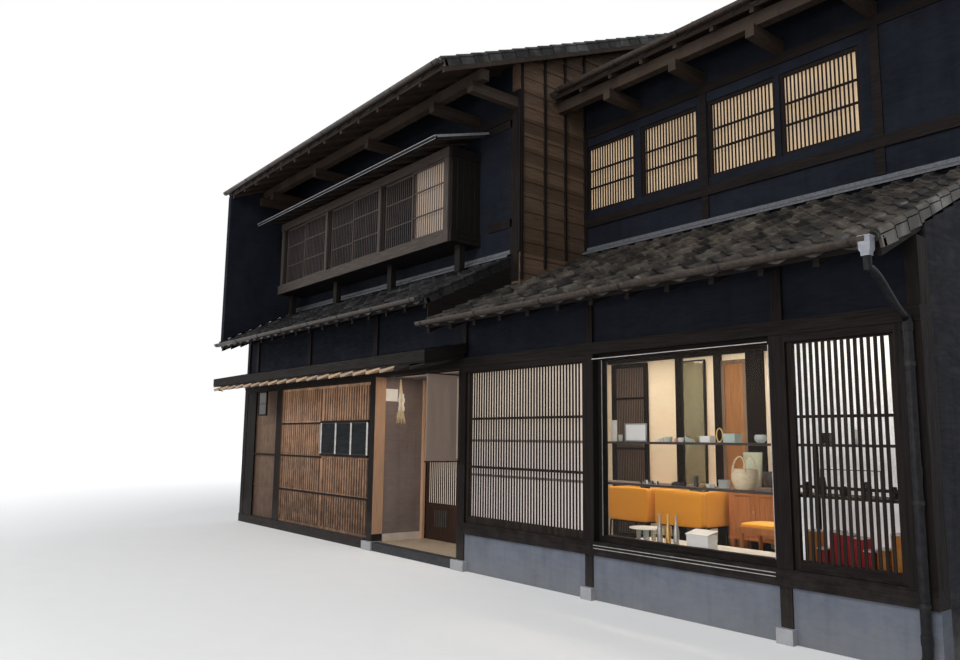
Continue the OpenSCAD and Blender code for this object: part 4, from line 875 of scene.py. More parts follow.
def ridge(name, x0, x1, z_ridge, seed):
    """Four courses of flat tiles, a row of caps and two shields at each end."""
    bench, dice = Bench(), random.Random(seed)
    bench.prism_x(x0 + 20, x1 - 20, [(RIDGE_Y + y, z_ridge + z) for y, z in RIDGE_BED])
    for level, (half_width, low) in enumerate(COURSES):
        start = x0 + 30 - (RIDGE_TILE / 2 if level % 2 else 0)
        while start < x1 - 30:
            a, b = max(start, x0 + 30), min(start + RIDGE_TILE, x1 - 30)
            for side in (-1, 1):
                z = z_ridge + low + dice.uniform(-1.5, 1.5)
                inner, outer = RIDGE_Y + side * 6, RIDGE_Y + side * half_width
                bench.prism_x(a + 1.5, b - 1.5, [(inner, z + 12), (outer, z - 4), (outer, z + 18), (inner, z + 30)])
            start += RIDGE_TILE
    caps = int((x1 - x0 - 80) / CAP_LENGTH)
    wide = (x1 - x0 - 80) / caps
    for i in range(caps):
        a, lift = x0 + 40 + i * wide, dice.uniform(-1.5, 1.5)
        rings = []
        for x, radius in ((a, 82), (a + 26, 82), (a + 26.5, 74), (a + wide + 8, 72)):
            arch = round_about(RIDGE_Y, z_ridge + 172 + lift, radius, half_turn(14), 0.98)
            arch += [(RIDGE_Y + side * radius, z_ridge + 150) for side in (-1, 1)]
            rings.append([(x, y, z) for y, z in arch])
        bench.loft(rings)
    for x, step in ((x0, 1), (x1, -1)):
        for inset, front, depth in ((0, 12, 46), (16, 2, 58)):
            shield = round_about(RIDGE_Y, z_ridge + 134, 118 - inset, half_turn(16))
            shield += [(RIDGE_Y + side * (out - inset), z_ridge + z) for side, out, z in (
                (-1, 124, -30), (-1, 146, inset - 84), (1, 146, inset - 84), (1, 124, -30))]
            bench.prism_x(*sorted((x + step * front, x + step * depth)), shield)
    bench.piece(name + "_ridge", ridge_clay, "roof_tile", stands_for=[name + "_main_roof"], bevel=3, smooth=40)


ridge("left", LEFT_END, VERGE_X, LEFT_RIDGE_Z, 21)
ridge("right", VERGE_X + 20, RIGHT_END, RIGHT_RIDGE_Z, 22)

# %% Flashings
TURNED_METAL = ((-1, 54), (-7, 54), (-9, 16), (-72, 13), (-77, -8), (-73, -9), (-68, 7), (-1, 6))
for name, slope, x0, x1, wall in (("left_pent", left_pent[0], LEFT_END + 121, SPLIT_X - 2, WING_BACK),
                                  ("right_pent", right_pent[0], WING_X + 2, RIGHT_END - 2, RANGE_BACK)):
    bench = Bench()
    z_wall, rise = slope.at(0, slope.length)[2], slope.s / slope.c
    bench.prism_x(x0, x1, [(wall + y, z_wall + lift + (y * rise if y < -12 else 0)) for y, lift in TURNED_METAL])
    bench.piece(name + "_flashing", pale_flashing, "gutter_metal", stands_for=[name + "_roof"])

# %% [markdown]
# ## Lapped boards on the wing's side
# The side of the higher wing is clad in lapped boards, each one tucked under the board above it, with upright
# battens that are notched over the laps. The cladding stops under the sloping roof. Each board here is a long
# wedge, thick at its lower edge, and its upper end is cut where the roof comes down on it.

# %% Cladding
BOARD_PITCH, BOARD_LAP, BOARD_ROWS, BOARD_LENGTH = 197.0, 22, 25, 1800
STATIONS = range(790, 10227, 20)


def under_roof(y, clear=20.0):
    """The underside of the wing's roof boards above a point of its side wall."""
    return LEFT_RIDGE_Z - MAIN_RISE * abs(y - RIDGE_Y) - ROOF_T * 1.085 - clear


def over_right_roof(y):
    """The top of whichever roof of the lower range meets the wing's side at y."""
    if y < RANGE_BACK:
        return PENT_Z + PENT_RISE * (y - EAVE_Y)
    return RIGHT_RIDGE_Z - MAIN_RISE * abs(y - RIDGE_Y)


def open_spans(low, high):
    """Where a row of boards is clear of the roofs, as pairs of y."""
    spans, start = [], None
    for y in STATIONS:
        clear = under_roof(y) > low + 30 and over_right_roof(y) < high
        if clear and start is None:
            start = y
        if start is not None and (not clear or y == STATIONS[-1]):
            spans.append((start, y))
            start = None
    return spans


cladding = Bench()
for row in range(BOARD_ROWS):
    low = 3300.0 + row * BOARD_PITCH
    high = low + BOARD_PITCH + BOARD_LAP
    for a, b in open_spans(low, high):
        joints = [a + BOARD_LENGTH * (i - 0.5 * (row % 2)) for i in range(1, 9)]
        stops = [a] + [s for s in joints if s < b - 200] + [b]
        for s0, s1 in zip(stops, stops[1:]):
            cladding.loft([[(WING_X - 2, s, low), (WING_X + 17, s, low),
                            (WING_X + 17 - 13 * (top - low) / (high - low), s, top), (WING_X - 2, s, top)]
                           for s, top in ((s, min(high, under_roof(s))) for s in (s0 + 1, s1 - 1))])
cladding.boxes([(WING_X + 2, WING_X + 34, y - 17, y + 17, over_right_roof(y) + 6, under_roof(y + 30, 24))
                for y in (812, 1212, 1580, 1950)], 1)
cladding.box(WING_X - 131, WING_X + 1, WING_BACK - 15, WING_BACK - 0.5, 3394, 3804, 1)
cladding.box(WING_X - 150, WING_X + 30, WING_BACK - 14, WING_BACK + 24, 3760, 5870, 1)
cladding.piece("wing_lapped_boards", [boards_brown, BLACK[2]], "brown_timber", bevel=2)

# %% [markdown]
# ## The boarded hood over the bay window
# The hood is a thin sloping lid of boards on small rafters, with a strip of metal folded over its front edge. It is
# too thin for a plain slab to show, so its boards, rafters and edge strip are made one by one.

# %% Bay hood
HOOD_X0, HOOD_X1, HOOD_BOARDS, HOOD_RAFTERS = 329.0, 5756.0, 6, 15
RAFTER, FOLDED_METAL, EDGE_BOARD = 1, 2, 3
hood = Bench()
hood_slope = Slope(HOOD_X0, HOOD_X1, -100.0, 5170.0, WING_BACK, 0.30)
board_wide = hood_slope.length / HOOD_BOARDS
for i in range(HOOD_BOARDS):
    lap, low = 14 if i < HOOD_BOARDS - 1 else 0, 26 - 2 * (i % 2)
    hood_slope.beam(hood, HOOD_X0 + 3, HOOD_X1 - 3, i * board_wide + 1, (i + 1) * board_wide - 1 + lap, low, low + 12)
for i in range(HOOD_RAFTERS):
    x = HOOD_X0 + 60 + i * (HOOD_X1 - HOOD_X0 - 154) / (HOOD_RAFTERS - 1)
    hood_slope.beam(hood, x, x + 34, 34, hood_slope.length - 10, -8, 26, RAFTER)
hood_slope.beam(hood, HOOD_X0, HOOD_X1, 1, 34, -12, 26, EDGE_BOARD)
for up, low, high in ((50, 39, 42), (1.5, 34, 42), (1.5, -6, 0)):
    hood_slope.beam(hood, HOOD_X0, HOOD_X1, -2, up, low, high, FOLDED_METAL)
for x in (HOOD_X0, HOOD_X1 - 4):
    hood_slope.beam(hood, x, x + 4, -2, hood_slope.length - 6, 10, 43, FOLDED_METAL)
hood.piece("bay_hood_boards", [EAVE[0], BAY[1], hopper_metal, BLACK[0]], "brown_timber", stands_for=["bay_hood"],
           bevel=1)

# %% [markdown]
# ## Gutters
# A half-round gutter of painted metal hangs under each eave on iron straps, with a sleeve where two lengths meet and
# a stopped end. In the frame a gutter is a full half cylinder; here it is a thin trough with a rolled front edge,
# so that from below one sees a pipe and from above a channel.

# %% Gutters
GUTTER_R, STRAP_GAP = 46.0, 920
LOWER_HALF = half_turn(16, math.pi)
GUTTER_RUNS = [
    (LEFT_END, SPLIT_X - 60, -580, 3030), (SPLIT_X - 40, RIGHT_END - 66, -580, 2740), (LEFT_END, VERGE_X, -580, 5770),
    (VERGE_X + 30, RIGHT_END, 1260, 5940), (LEFT_END, VERGE_X, 10430, 5770), (VERGE_X + 30, RIGHT_END, 10430, 5167.2),
]


def half_pipe(y, z, outer, inner):
    """The section of a thin half-round channel whose rim is at z."""
    return round_about(y, z, outer, LOWER_HALF) + round_about(y, z, inner, LOWER_HALF[::-1])


gutters = Bench()
for x0, x1, y, z in GUTTER_RUNS:
    gutters.prism_x(x0, x1, half_pipe(y, z, GUTTER_R, GUTTER_R - 2.5))
    for lip in (y - GUTTER_R + 3, y + GUTTER_R - 3):
        gutters.tube([(x0, lip, z), (x1, lip, z)], 4.5, 10)
    for x in (x0, x1 - 3):
        gutters.prism_x(x, x + 3, round_about(y, z, GUTTER_R - 1, LOWER_HALF))
    count = max(2, round((x1 - x0 - 200) / STRAP_GAP) + 1)
    for i in range(count):
        x = x0 + 90 + i * (x1 - x0 - 200) / (count - 1)
        if y < RIDGE_Y:
            rim = y + GUTTER_R + 0.8
            gutters.prism_x(x, x + 18, half_pipe(y, z, 50, GUTTER_R + 0.8), 1)
            gutters.box(x, x + 18, rim, rim + 3, z - 2, z + 26, 1)
            gutters.box(x, x + 18, rim - 4, rim + 40, z + 23, z + 26, 1)
        else:
            gutters.box(x, x + 18, y - GUTTER_R - 40, y - GUTTER_R, z - 3, z, 1)
    sleeve = x0 + (x1 - x0) * 0.52
    gutters.prism_x(sleeve, sleeve + 70, half_pipe(y, z, 50, 47))
gutters.piece("gutter_runs", [bronze_paint, black_iron], "gutter_metal", stands_for=["gutters"], smooth=40)

# %% [markdown]
# ## The bay window's members and leaves
# The bay is a box of greyed posts between a heavy sill and a head. Its ends are closed with boards, and these, its
# soffit, the backs of the sill and head, the set-back part of each post and the struts under it take dark timber as
# painted shade, so only the street faces look pale. Each bay holds two lattice leaves on two tracks, so the left one
# of every pair stands a little further back. One function makes a leaf, and the lattice at the right end of the
# street front, whose bars are heavier, comes from it too.


# %% A lattice leaf
def lattice_leaf(bench, x0, x1, z0, z1, y, bars, bar, rails, stile, foot, head, thick=26.0, deep=12, half=11):
    """Stiles, top and bottom rails, upright bars in front and level rails let into them."""
    bench.boxes([(a, a + stile, y, y + thick, z0, z1) for a in (x0, x1 - stile)], 1)
    bench.boxes([(x0 + stile, x1 - stile, y + 1, y + thick - 1, a, b) for a, b in ((z0, z0 + foot), (z1 - head, z1))])
    step = (x1 - x0 - 2 * stile) / (bars + 1)
    for k in range(bars):
        left = x0 + stile + (k + 1) * step - bar / 2
        bench.box(left, left + bar, y + 2, y + 2 + deep, z0 + foot - 4, z1 - head + 4, 1)
    bench.boxes([(x0 + stile - 4, x1 - stile + 4, y + 1.5 + deep / 2, y + 9 + deep, z - half, z + half) for z in rails])


BAY_POSTS = [489.0, 2128.0, 3767.0, 5406.0]
bay_leaves = Bench()
for bay in BAY_POSTS[:3]:
    x0, middle, x1 = bay + 150.5, bay + 894.5, bay + 1638.5
    for a, b, y in ((x0, middle + 16, 334.0), (middle - 16, x1, 306.0)):
        lattice_leaf(bay_leaves, a, b, 4110.5, 5099.5, y, 13, 12.0, (4437.0, 4783.0), 26.0, 36.0, 26.0, deep=7, half=9)
bay_leaves.piece("bay_lattice_leaves", [BAY[0], BAY[2]], "brown_timber", stands_for=["bay_lattices"], bevel=1)
end_leaf = Bench()
lattice_leaf(end_leaf, 10276.2, 11075.8, 525.2, 2203.8, 15.2, 14, 24.0, (1130.0, 1640.0), 44.0, 75.0, 15.0, thick=39.0)
end_leaf.piece("right_end_lattice_leaf", [BLACK[0], bar_black], "dark_timber", stands_for=["right_end_lattice"],
               bevel=1.5)

# %% Bay members
SILL_Z, OPEN_Z, HEAD_Z, BAY_Y, BAY_WALL = 3950.0, 4110.0, 5100.0, 290.0, 779.5
# The dark boards and uprights paint shade: on the bay's ends, soffit and backs, the set-back part of each post and the
# struts.
UPRIGHT, SHADED_BOARD, SHADED_UPRIGHT = 1, 2, 3
members = Bench()
members.box(449, 5536, 270, 396, SILL_Z + 4, OPEN_Z)
members.box(469, 5524, 280, 400, HEAD_Z, HEAD_Z + 130)
members.boxes([
    (5536, 5596, 281, 396, SILL_Z + 4, OPEN_Z), (461, 5584, 280, BAY_WALL, SILL_Z, SILL_Z + 60),
    (461, 5584, 396, BAY_WALL, SILL_Z + 60, OPEN_Z), (5524, 5576, 289, 400, HEAD_Z, HEAD_Z + 130),
    (475, 5570, 400, BAY_WALL, HEAD_Z, HEAD_Z + 126)], SHADED_BOARD)
for x in BAY_POSTS:
    split = x + (98 if x == BAY_POSTS[3] else 72)
    members.box(x, split, BAY_Y, BAY_Y + 110, OPEN_Z - 2, HEAD_Z + 2, UPRIGHT)
    members.box(split, x + 150, BAY_Y + 30, BAY_Y + 110, OPEN_Z - 2, HEAD_Z + 2, SHADED_UPRIGHT)
    feet = [(y, left_pent[0].at(0, (y - EAVE_Y) / left_pent[0].c)[2] + 4) for y in (470.0, 560.0)]
    members.prism_x(x + 20, x + 130, feet + [(560, SILL_Z + 2), (470, SILL_Z + 2)], SHADED_UPRIGHT)
for outer, inner, face in ((5556.0, 5500.0, 7), (489.0, 545.0, -7)):
    members.box(*sorted((outer, inner)), BAY_Y + 110, BAY_WALL, OPEN_Z, HEAD_Z, SHADED_BOARD)
    members.boxes([(*sorted((outer, outer + face)), 402 + k * 94, 493 + k * 94, OPEN_Z + 4, HEAD_Z - 4)
                   for k in range(4)], SHADED_UPRIGHT)
members.piece("bay_window_members", [BAY[0], BAY[2], BLACK[1], BLACK[2]], "brown_timber",
              stands_for=["bay_window_frame"], bevel=3)

# %% [markdown]
# ## The ceiling of the board eave
# Under the thin eave the boards run out from the wall, and each one laps its neighbour, so the front shows a row of
# small steps. A slab with a picture of boards would lose those steps. Here each board is its own wedge, in one of
# three tones, except the last two on the right, which take dark timber as painted shadow, and battens hold the dark
# top boards down.

# %% Board eave
NOKI_RISE, NOKI_STEP, NOKI_LAP, NOKI_DEPTH = 0.22, 320.1, 45.0, 567.0
NOKI_SLOPE, NOKI_Y, NOKI_Z = math.atan(NOKI_RISE), -579.05, 2216.24
NOKI_BOARDS, SHADOWED_BOARDS = 20, 2
DARK_LID_AND_SHADOW, DARK_TOP = 3, 4
NOKI_END = LEFT_END + NOKI_BOARDS * NOKI_STEP


def under_eave(x, along, up):
    """A point under the eave: along the slope from its front edge, and square to it."""
    return (x, NOKI_Y + along * math.cos(NOKI_SLOPE) - up * math.sin(NOKI_SLOPE),
            NOKI_Z + along * math.sin(NOKI_SLOPE) + up * math.cos(NOKI_SLOPE))


def eave_top(y):
    return 2425 + NOKI_RISE * (y + 597)


def eave_layer(x0, x1, front, low, high):
    """A board on top of the eave, between two depths under its highest face."""
    outline = ((front, low), (-1, low), (-1, high), (front, high))
    eave.prism_x(x0, x1, [(y, eave_top(y) - depth) for y, depth in outline], DARK_TOP)


eave = Bench()
for board in range(NOKI_BOARDS):
    x0 = LEFT_END + board * NOKI_STEP
    x1 = min(x0 + NOKI_STEP + 14, NOKI_END)
    lift = NOKI_LAP * (x1 - x0) / NOKI_STEP
    wedge = [(x0, 0), (x1, lift), (x1, lift + 20), (x0 + 30, NOKI_LAP - 2), (x0, NOKI_LAP - 2)]
    # The last boards on the right take the dark timber as painted shadow; the rest vary in tone.
    tone = DARK_LID_AND_SHADOW if board >= NOKI_BOARDS - SHADOWED_BOARDS else (board * 7) % 3
    eave.loft([[under_eave(x, along, up) for x, up in wedge] for along in (0.5, NOKI_DEPTH - 1)], tone)
    eave_layer(x0 + 1, x0 + NOKI_STEP - 1, -574.5, 24, 9)
    eave_layer(max(x0 - 16, LEFT_END), x0 + 16, -574, 10, 0.5)
lid = ((LEFT_END, 67), (NOKI_END, 67), (NOKI_END, 79.5), (LEFT_END, 79.5))
eave.loft([[under_eave(x, along, up) for x, up in lid] for along in (0.5, NOKI_DEPTH - 1)], DARK_LID_AND_SHADOW)
eave.piece("board_eave_boards", [BARE[1], bare_warm, bare_grey, BLACK[0], BLACK[1]], "pale_timber",
           stands_for=["board_eave"], bevel=1.5)

# %% [markdown]
# ## The rain pipe
# Rain from the right gutter drops into a hopper and runs back under the eave in a double bend to a pipe beside the
# end post. Iron straps hold it, and a shoe turns the water away at the foot. One tube follows the whole path, and
# the hopper is a square box of pale metal with a short funnel under it.

# %% Rain pipe
HOPPER_X, PIPE_Y, GUTTER_Y = 11191.0, -63.3, -580.0
HOPPER = [(27, 27, 2620), (28, 28, 2645), (36, 35, 2658), (38, 36, 2738), (41, 39, 2740), (41, 39, 2750),
          (38, 36, 2750), (30, 30, 2662)]
SHOE = [(0, 0, 2255), (0, 0, 2180), (0, 0, 170), (0, -2, 120), (-12, -4, 76), (-34, -7, 48), (-62, -9, 38)]
SQUARE = ((-1, -1), (1, -1), (1, 1), (-1, 1))
STRAP, PALE_METAL = 1, 2
pipe = Bench()
pipe.loft([[(HOPPER_X + a * i, GUTTER_Y + b * j, z) for i, j in SQUARE] for a, b, z in HOPPER], PALE_METAL)
path = [(HOPPER_X, GUTTER_Y, 2620), (HOPPER_X, GUTTER_Y, 2570)]
for t in (step / 12 for step in range(13)):
    path.append((HOPPER_X, GUTTER_Y + (PIPE_Y - GUTTER_Y) * t, 2550 - 260 * t * t * (3 - 2 * t)))
path += [(HOPPER_X + dx, PIPE_Y + dy, z) for dx, dy, z in SHOE]
pipe.tube(path, [27.0] * 15 + [33.5] * len(SHOE), 20)
for z in (2190, 1240, 190):
    pipe.tube([(HOPPER_X, PIPE_Y, z), (HOPPER_X, PIPE_Y, z + 60)], 37.4, 20)
for z, back in ((1960, -15.6), (1060, -15.6), (420, -26)):
    pipe.tube([(HOPPER_X, PIPE_Y, z), (HOPPER_X, PIPE_Y, z + 26)], 37.8, 20, STRAP)
    pipe.box(HOPPER_X - 11, HOPPER_X + 11, PIPE_Y + 30, back, z + 1, z + 25, STRAP)
pipe.piece("street_rain_pipe", [pipe_paint, black_iron, hopper_metal], "gutter_metal", stands_for=["rain_pipe"],
           smooth=35)

# %% [markdown]
# ## Notice frames, sign and lamp
# Three dark panes in a pale-edged frame hang on the lattice. They are glossy and bare. A small board hangs from the
# eave on rods, and an opal globe under a metal cap lights the left end. The globe is a turned shape, with the cap's
# rim and neck in the same profile, as a lamp maker would spin it.


# %% Notice frames
def frame_round(bench, x0, x1, z0, z1, width, y0, y1, ink=0):
    """Two stiles and two rails."""
    bench.boxes([(x, x + width, y0, y1, z0, z1) for x in (x0, x1 - width)], ink)
    bench.boxes([(x0 + width, x1 - width, y0, y1, z, z + width) for z in (z0, z1 - width)], ink)


BOARD_X0, BOARD_X1, BOARD_Z0, BOARD_Z1 = 2844.0, 4209.0, 1180.0, 1690.0
RAIL, STRIP, PANES = 34, 46.0, 3
EDGE, GLOSSY, BEAD = 1, 2, 3
PANE_Z0, PANE_Z1 = BOARD_Z0 + RAIL, BOARD_Z1 - RAIL
notice = Bench()
notice.box(BOARD_X0, BOARD_X1, -4, 14.8, BOARD_Z0 + 4, BOARD_Z1 - 4)
notice.boxes([(BOARD_X0, BOARD_X1, -25, -3, z, z + RAIL) for z in (BOARD_Z0, PANE_Z1)])
pane_w = (BOARD_X1 - BOARD_X0 - (PANES + 1) * STRIP) / PANES
for k in range(PANES + 1):
    x = BOARD_X0 + k * (pane_w + STRIP)
    notice.box(x + 3, x + STRIP - 3, -22, -3, PANE_Z0, PANE_Z1, EDGE)
    notice.box(x + 11, x + STRIP - 11, -24.6, -21, PANE_Z0, PANE_Z1, EDGE)
    if k < PANES:
        a, b = x + STRIP, x + STRIP + pane_w
        notice.box(a - 3, b + 3, -13, -6, PANE_Z0, PANE_Z1, GLOSSY)
        notice.boxes([(a, b, -20, -13, z, z + 12) for z in (PANE_Z0, PANE_Z1 - 12)], BEAD)
notice.piece("notice_frames", [BLACK[0], trim_metal, dark_pane, black_iron], "dark_timber",
             stands_for=["notice_board"], bevel=1.2)

# %% Dark strips and rails
dark_strips = Bench()
# The two upright strips stand partly for dark stiles and partly for painted shadow beside them; the level ones are
# rails.
dark_strips.boxes([(x0, x1, -9, -4.5, 134, 2203) for x0, x1 in ((1262, 1455), (67, 420))])
dark_strips.boxes([(1456, 2840, 8, 16, z - 14, z + 14) for z in (1658, 1160, 632)], 1)
dark_strips.boxes([(420, 1262, -9, -1, 1146, 1174), (2845, 4232, 8, 16, 618, 646)], 1)
dark_strips.piece("left_leaf_dark_strips", [BLACK[2], BLACK[0]], "brown_timber", bevel=1)

# %% Hanging sign
hanging = Bench()
hanging.box(912, 1208, -168, -152, 1802, 2178)
frame_round(hanging, 900, 1220, 1790, 2190, 24, -175, -145, 1)
hanging.box(930, 1190, -172, -148, 1980, 1988, 1)
hanging.piece("street_sign_board", [dark_lacquer, BLACK[2]], "brown_timber", stands_for=["hanging_sign"],
              bevel=2.5, segments=2)

# %% Globe lamp
LAMP_X, LAMP_Y, LAMP_Z, LAMP_R = 60.0, -510.0, 2160.0, 65.0
CAP = [(39, 2209), (41, 2212), (41, 2219), (34, 2224), (26, 2229), (24.5, 2232), (24.5, 2244)]
globe = Bench()
bulb = [(LAMP_R * math.sin(t), LAMP_Z - LAMP_R * math.cos(t)) for t in (math.pi * (k + 0.35) / 18 for k in range(15))]
globe.turned(LAMP_X, LAMP_Y, bulb, 32)
globe.turned(LAMP_X, LAMP_Y, CAP, 32, 1)
globe.piece("opal_globe", [opal, trim_metal], "opal_glass", stands_for=["globe_lamp"], smooth=40)

# %% [markdown]
# ## Ironwork and the door banner
# Two iron rods stand out from the corner post, and a narrow cloth is stretched between them, so it hangs square to
# the street. The cloth is a grid of points with soft upright folds that die out at the rods, and hems at its top
# and foot. It is thin all over, which a Solidify modifier gives.

# %% Ironwork
BANNER_X, BANNER_TOP, BANNER_FOOT, ROD_R = 6224.0, 2170.0, 1200.0, 7.0
iron = Bench()


def rod(points, radius, sides, x=BANNER_X):
    """An iron bar through (y, z) points."""
    iron.tube([(x, y, z) for y, z in points], radius, sides)


for z in (BANNER_FOOT - ROD_R - 0.3, BANNER_TOP + ROD_R + 0.3):
    rod([(-15.5, z), (-482, z)], 6.6, 14)
    rod([(-482, z), (-486, z), (-494.5, z)], [4, 6.9, 5], 14)
    iron.box(BANNER_X - 6.8, BANNER_X + 6.8, -23, -15.4, z - 24, z + 24)
    for dz in (-17, 17):
        rod([(-22, z + dz), (-26, z + dz)], 4.2, 8)
for x in (930.0, 1190.0):
    rod([(-160, 2190.4), (-160, 2204)], [8, 6], 12, x)
    rod([(-160, 2200), (-160, 2348)], 4.5, 12, x)
iron.piece("banner_and_sign_irons", black_iron, "iron", stands_for=["banner_brackets"], smooth=40)

# %% Banner cloth
ACROSS, DOWN = 28, 56
points, quads = [], []
for drop in (j / DOWN for j in range(DOWN + 1)):
    slack = math.sin(math.pi * drop)
    for side in (i / ACROSS for i in range(ACROSS + 1)):
        fold = 2.1 * math.sin(9.5 * side + 1.3 * drop) + 1.2 * math.sin(21 * side - 2.2 * drop)
        fold += 0.7 * math.sin(5 * drop + 3 * side)
        points.append(place(BANNER_X + slack * fold * 0.9, -480 + 450 * side + 1.6 * slack * (1 - 2 * side),
                            BANNER_TOP - 0.6 - (BANNER_TOP - BANNER_FOOT - 1.2) * drop))
for a in (j * (ACROSS + 1) + i for j in range(DOWN) for i in range(ACROSS)):
    quads.append((a, a + 1, a + ACROSS + 2, a + ACROSS + 1))
mesh = bpy.data.meshes.new("entrance_banner_cloth")
mesh.from_pydata(points, [], quads)
mesh.polygons.foreach_set("use_smooth", [True] * len(mesh.polygons))
mesh.materials.append(banner_cloth)
banner = new_object("entrance_banner_cloth", mesh)
thin = banner.modifiers.new("cloth_thickness", "SOLIDIFY")
thin.thickness, thin.offset = 0.0016, 0.0
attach(banner, "house")
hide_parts("entrance_banner")
hems = Bench()
for x in (BANNER_X - 1.9, BANNER_X + 0.9):
    hems.boxes([(x, x + 1.0, -479, -31, z, z + 24) for z in (BANNER_FOOT + 2, BANNER_TOP - 26)])
hems.boxes([(x, x + 1.0, -52, -31, BANNER_FOOT + 27, BANNER_TOP - 27) for x in (BANNER_X - 2.0, BANNER_X + 1.0)], 1)
hem_piece = hems.piece("banner_hems", [banner_cloth, hem_cloth], "banner_cloth", bevel=0.3)
print("banner cloth", len(quads), "faces")

# %% [markdown]
# ## The entrance
# The recess has a mauve plastered wall with a pale base, a tassel of rice straw beside a bare card, and two lattice
# doors. The faces of the posts that look into it, and the jamb posts, are a pale brown wood that paints the light of
# the recess lamp falling on them. Light from the hall comes through paper behind the bars of the doors. The rails,
# pulls and slats are small parts that carry much of the look, so they are made as real members that ride on their
# own leaf.

# %% Recess trims
recess = Bench()
recess.boxes([(x, x + 8.6, 152, 744, 100.5, 197) for x in (4364.4, 6197)])
# Pale brown facings on the inward faces of the dark posts, and the jamb posts: painted light of the recess lamp.
recess.boxes([(x, x + 3.2, -13.5, 149, 200, 2258) for x in (4366.3, 6200.5)], 1)
recess.boxes([(x, x + 57.7, 746, 784.5, 100.8, 2258) for x in (4366.3, 6146)], 1)
recess.piece("recess_trims", [pale_skirting, lamp_lit_post_wood], "mauve_plaster", bevel=1.5)

# %% Straw charm
KNOT_Y, WALL_X, STRAWS = 372.0, 4366.0, 70
WHITE_PAPER, NAIL = 1, 2
charm = Bench()
rng = random.Random(11)
for _ in range(STRAWS):
    lean, deep = rng.uniform(-1, 1), rng.uniform(6, 30)
    path = [(14, lean * 6, 2250), (0.5 * deep + 8, 2 + lean * 13, 2160), (deep, 8 + lean * 30, 1990),
            (deep, 12 + lean * 34, 1830),
            (rng.uniform(5, 32), 14 + lean * 74 + rng.uniform(-12, 12), 1630 + rng.uniform(0, 120))]
    charm.tube([(WALL_X + x, KNOT_Y + y, z) for x, y, z in path], [3.4, 3.4, 3.0, 2.6, 1.4], 5)
for k, z in enumerate((2228, 2150, 2072)):
    for strand in (0, 7):
        charm.tube([(WALL_X + 17 + (11 + 4 * k) * math.cos(t), KNOT_Y + 3 + (10 + 7 * k) * math.sin(t),
                     z + strand + 4 * math.sin(t)) for t in turns(20)], 3.6, 6, closed=True)
for fold in range(4):
    x, z = WALL_X + 31 + 1.5 * (fold % 2), 2050 - fold * 58
    for y in (KNOT_Y + 8 - 26 - 11 * (fold % 2), KNOT_Y + 8 + 26 + 11 * (fold % 2)):
        charm.box(x, x + 1.2, y - 15, y + 15, z - 60, z, WHITE_PAPER)
charm.box(WALL_X - 1, WALL_X + 20, KNOT_Y - 4, KNOT_Y + 4, 2248, 2256, NAIL)
charm.box(WALL_X - 1.4, WALL_X + 1.5, 150.5, 338, 1944, 2110, WHITE_PAPER)
charm.piece("straw_charm", [straw_look, plain_paper, black_iron], "mauve_plaster", smooth=50)

# %% Door leaves
LIT_PAPER, KICK_BOARD, PULL_RIM, BLACKENED_METAL, SLAT = range(1, 6)


def leaf_details(name, x0, x1, y0, y1, pull_x, body):
    """Rails, a kick board with a patch of slats, a pull and the lit paper of one lattice door."""
    leaf, patch = Bench(), x0 + 225
    leaf.box(x0 + 40, x1 - 40, y0 + 2, y1 - 2, 1530, 1552)
    leaf.box(x0 + 40, x1 - 40, y0 - 3, y0 + 4, 548, 588)
    leaf.box(x0 + 56, x1 - 56, y0 - 1.5, y0 + 2, 146, 548, KICK_BOARD)
    leaf.box(patch - 8, patch + 308, y0 - 2.9, y0 - 1, 286, 500, BLACKENED_METAL)
    leaf.boxes([(x, x + 28, y0 - 5.5, y0 - 2, 286, 500) for x in (patch + 10 + 50 * k for k in range(6))], SLAT)
    leaf.boxes([(patch - 8, patch + 308, y0 - 4.5, y0 - 1, z, z + 16) for z in (270, 500)])
    leaf.box(x0 + 44, x1 - 44, y1 - 5, y1 - 2.5, 572, 2090, LIT_PAPER)
    for rise, wide, out, ink in ((46, 13, 2, PULL_RIM), (39, 8, 3.5, BLACKENED_METAL)):
        leaf.prism_y(y0 - out, y0 + 2.5 - out, round_about(pull_x, 1120, wide, turns(24), rise / wide), ink)
    leaf.piece(name, [DOOR[0], door_paper, DOOR[2], trim_metal, black_iron, BAY[2]], "brown_timber", body=body, bevel=1)


leaf_details("sliding_leaf_details", 4385, 5310, 810, 844, 5274, "door_leaf")
leaf_details("fixed_leaf_details", 5266, 6191, 856, 890, 5302, "house")

# %% [markdown]
# ## Lit and unlit screens
# Paper panels stand behind the upper lattices. All four windows of the lower range are lit, and of the bay window
# only the last leaf on the right. The long lattice beside the entrance has a pale board behind it that glows, as
# painted light of the shop falling on it from above, greyer towards the foot, and two dark strips on it are painted
# shadows of the shelves. Each panel is a thin sheet in its own frame of narrow bars.

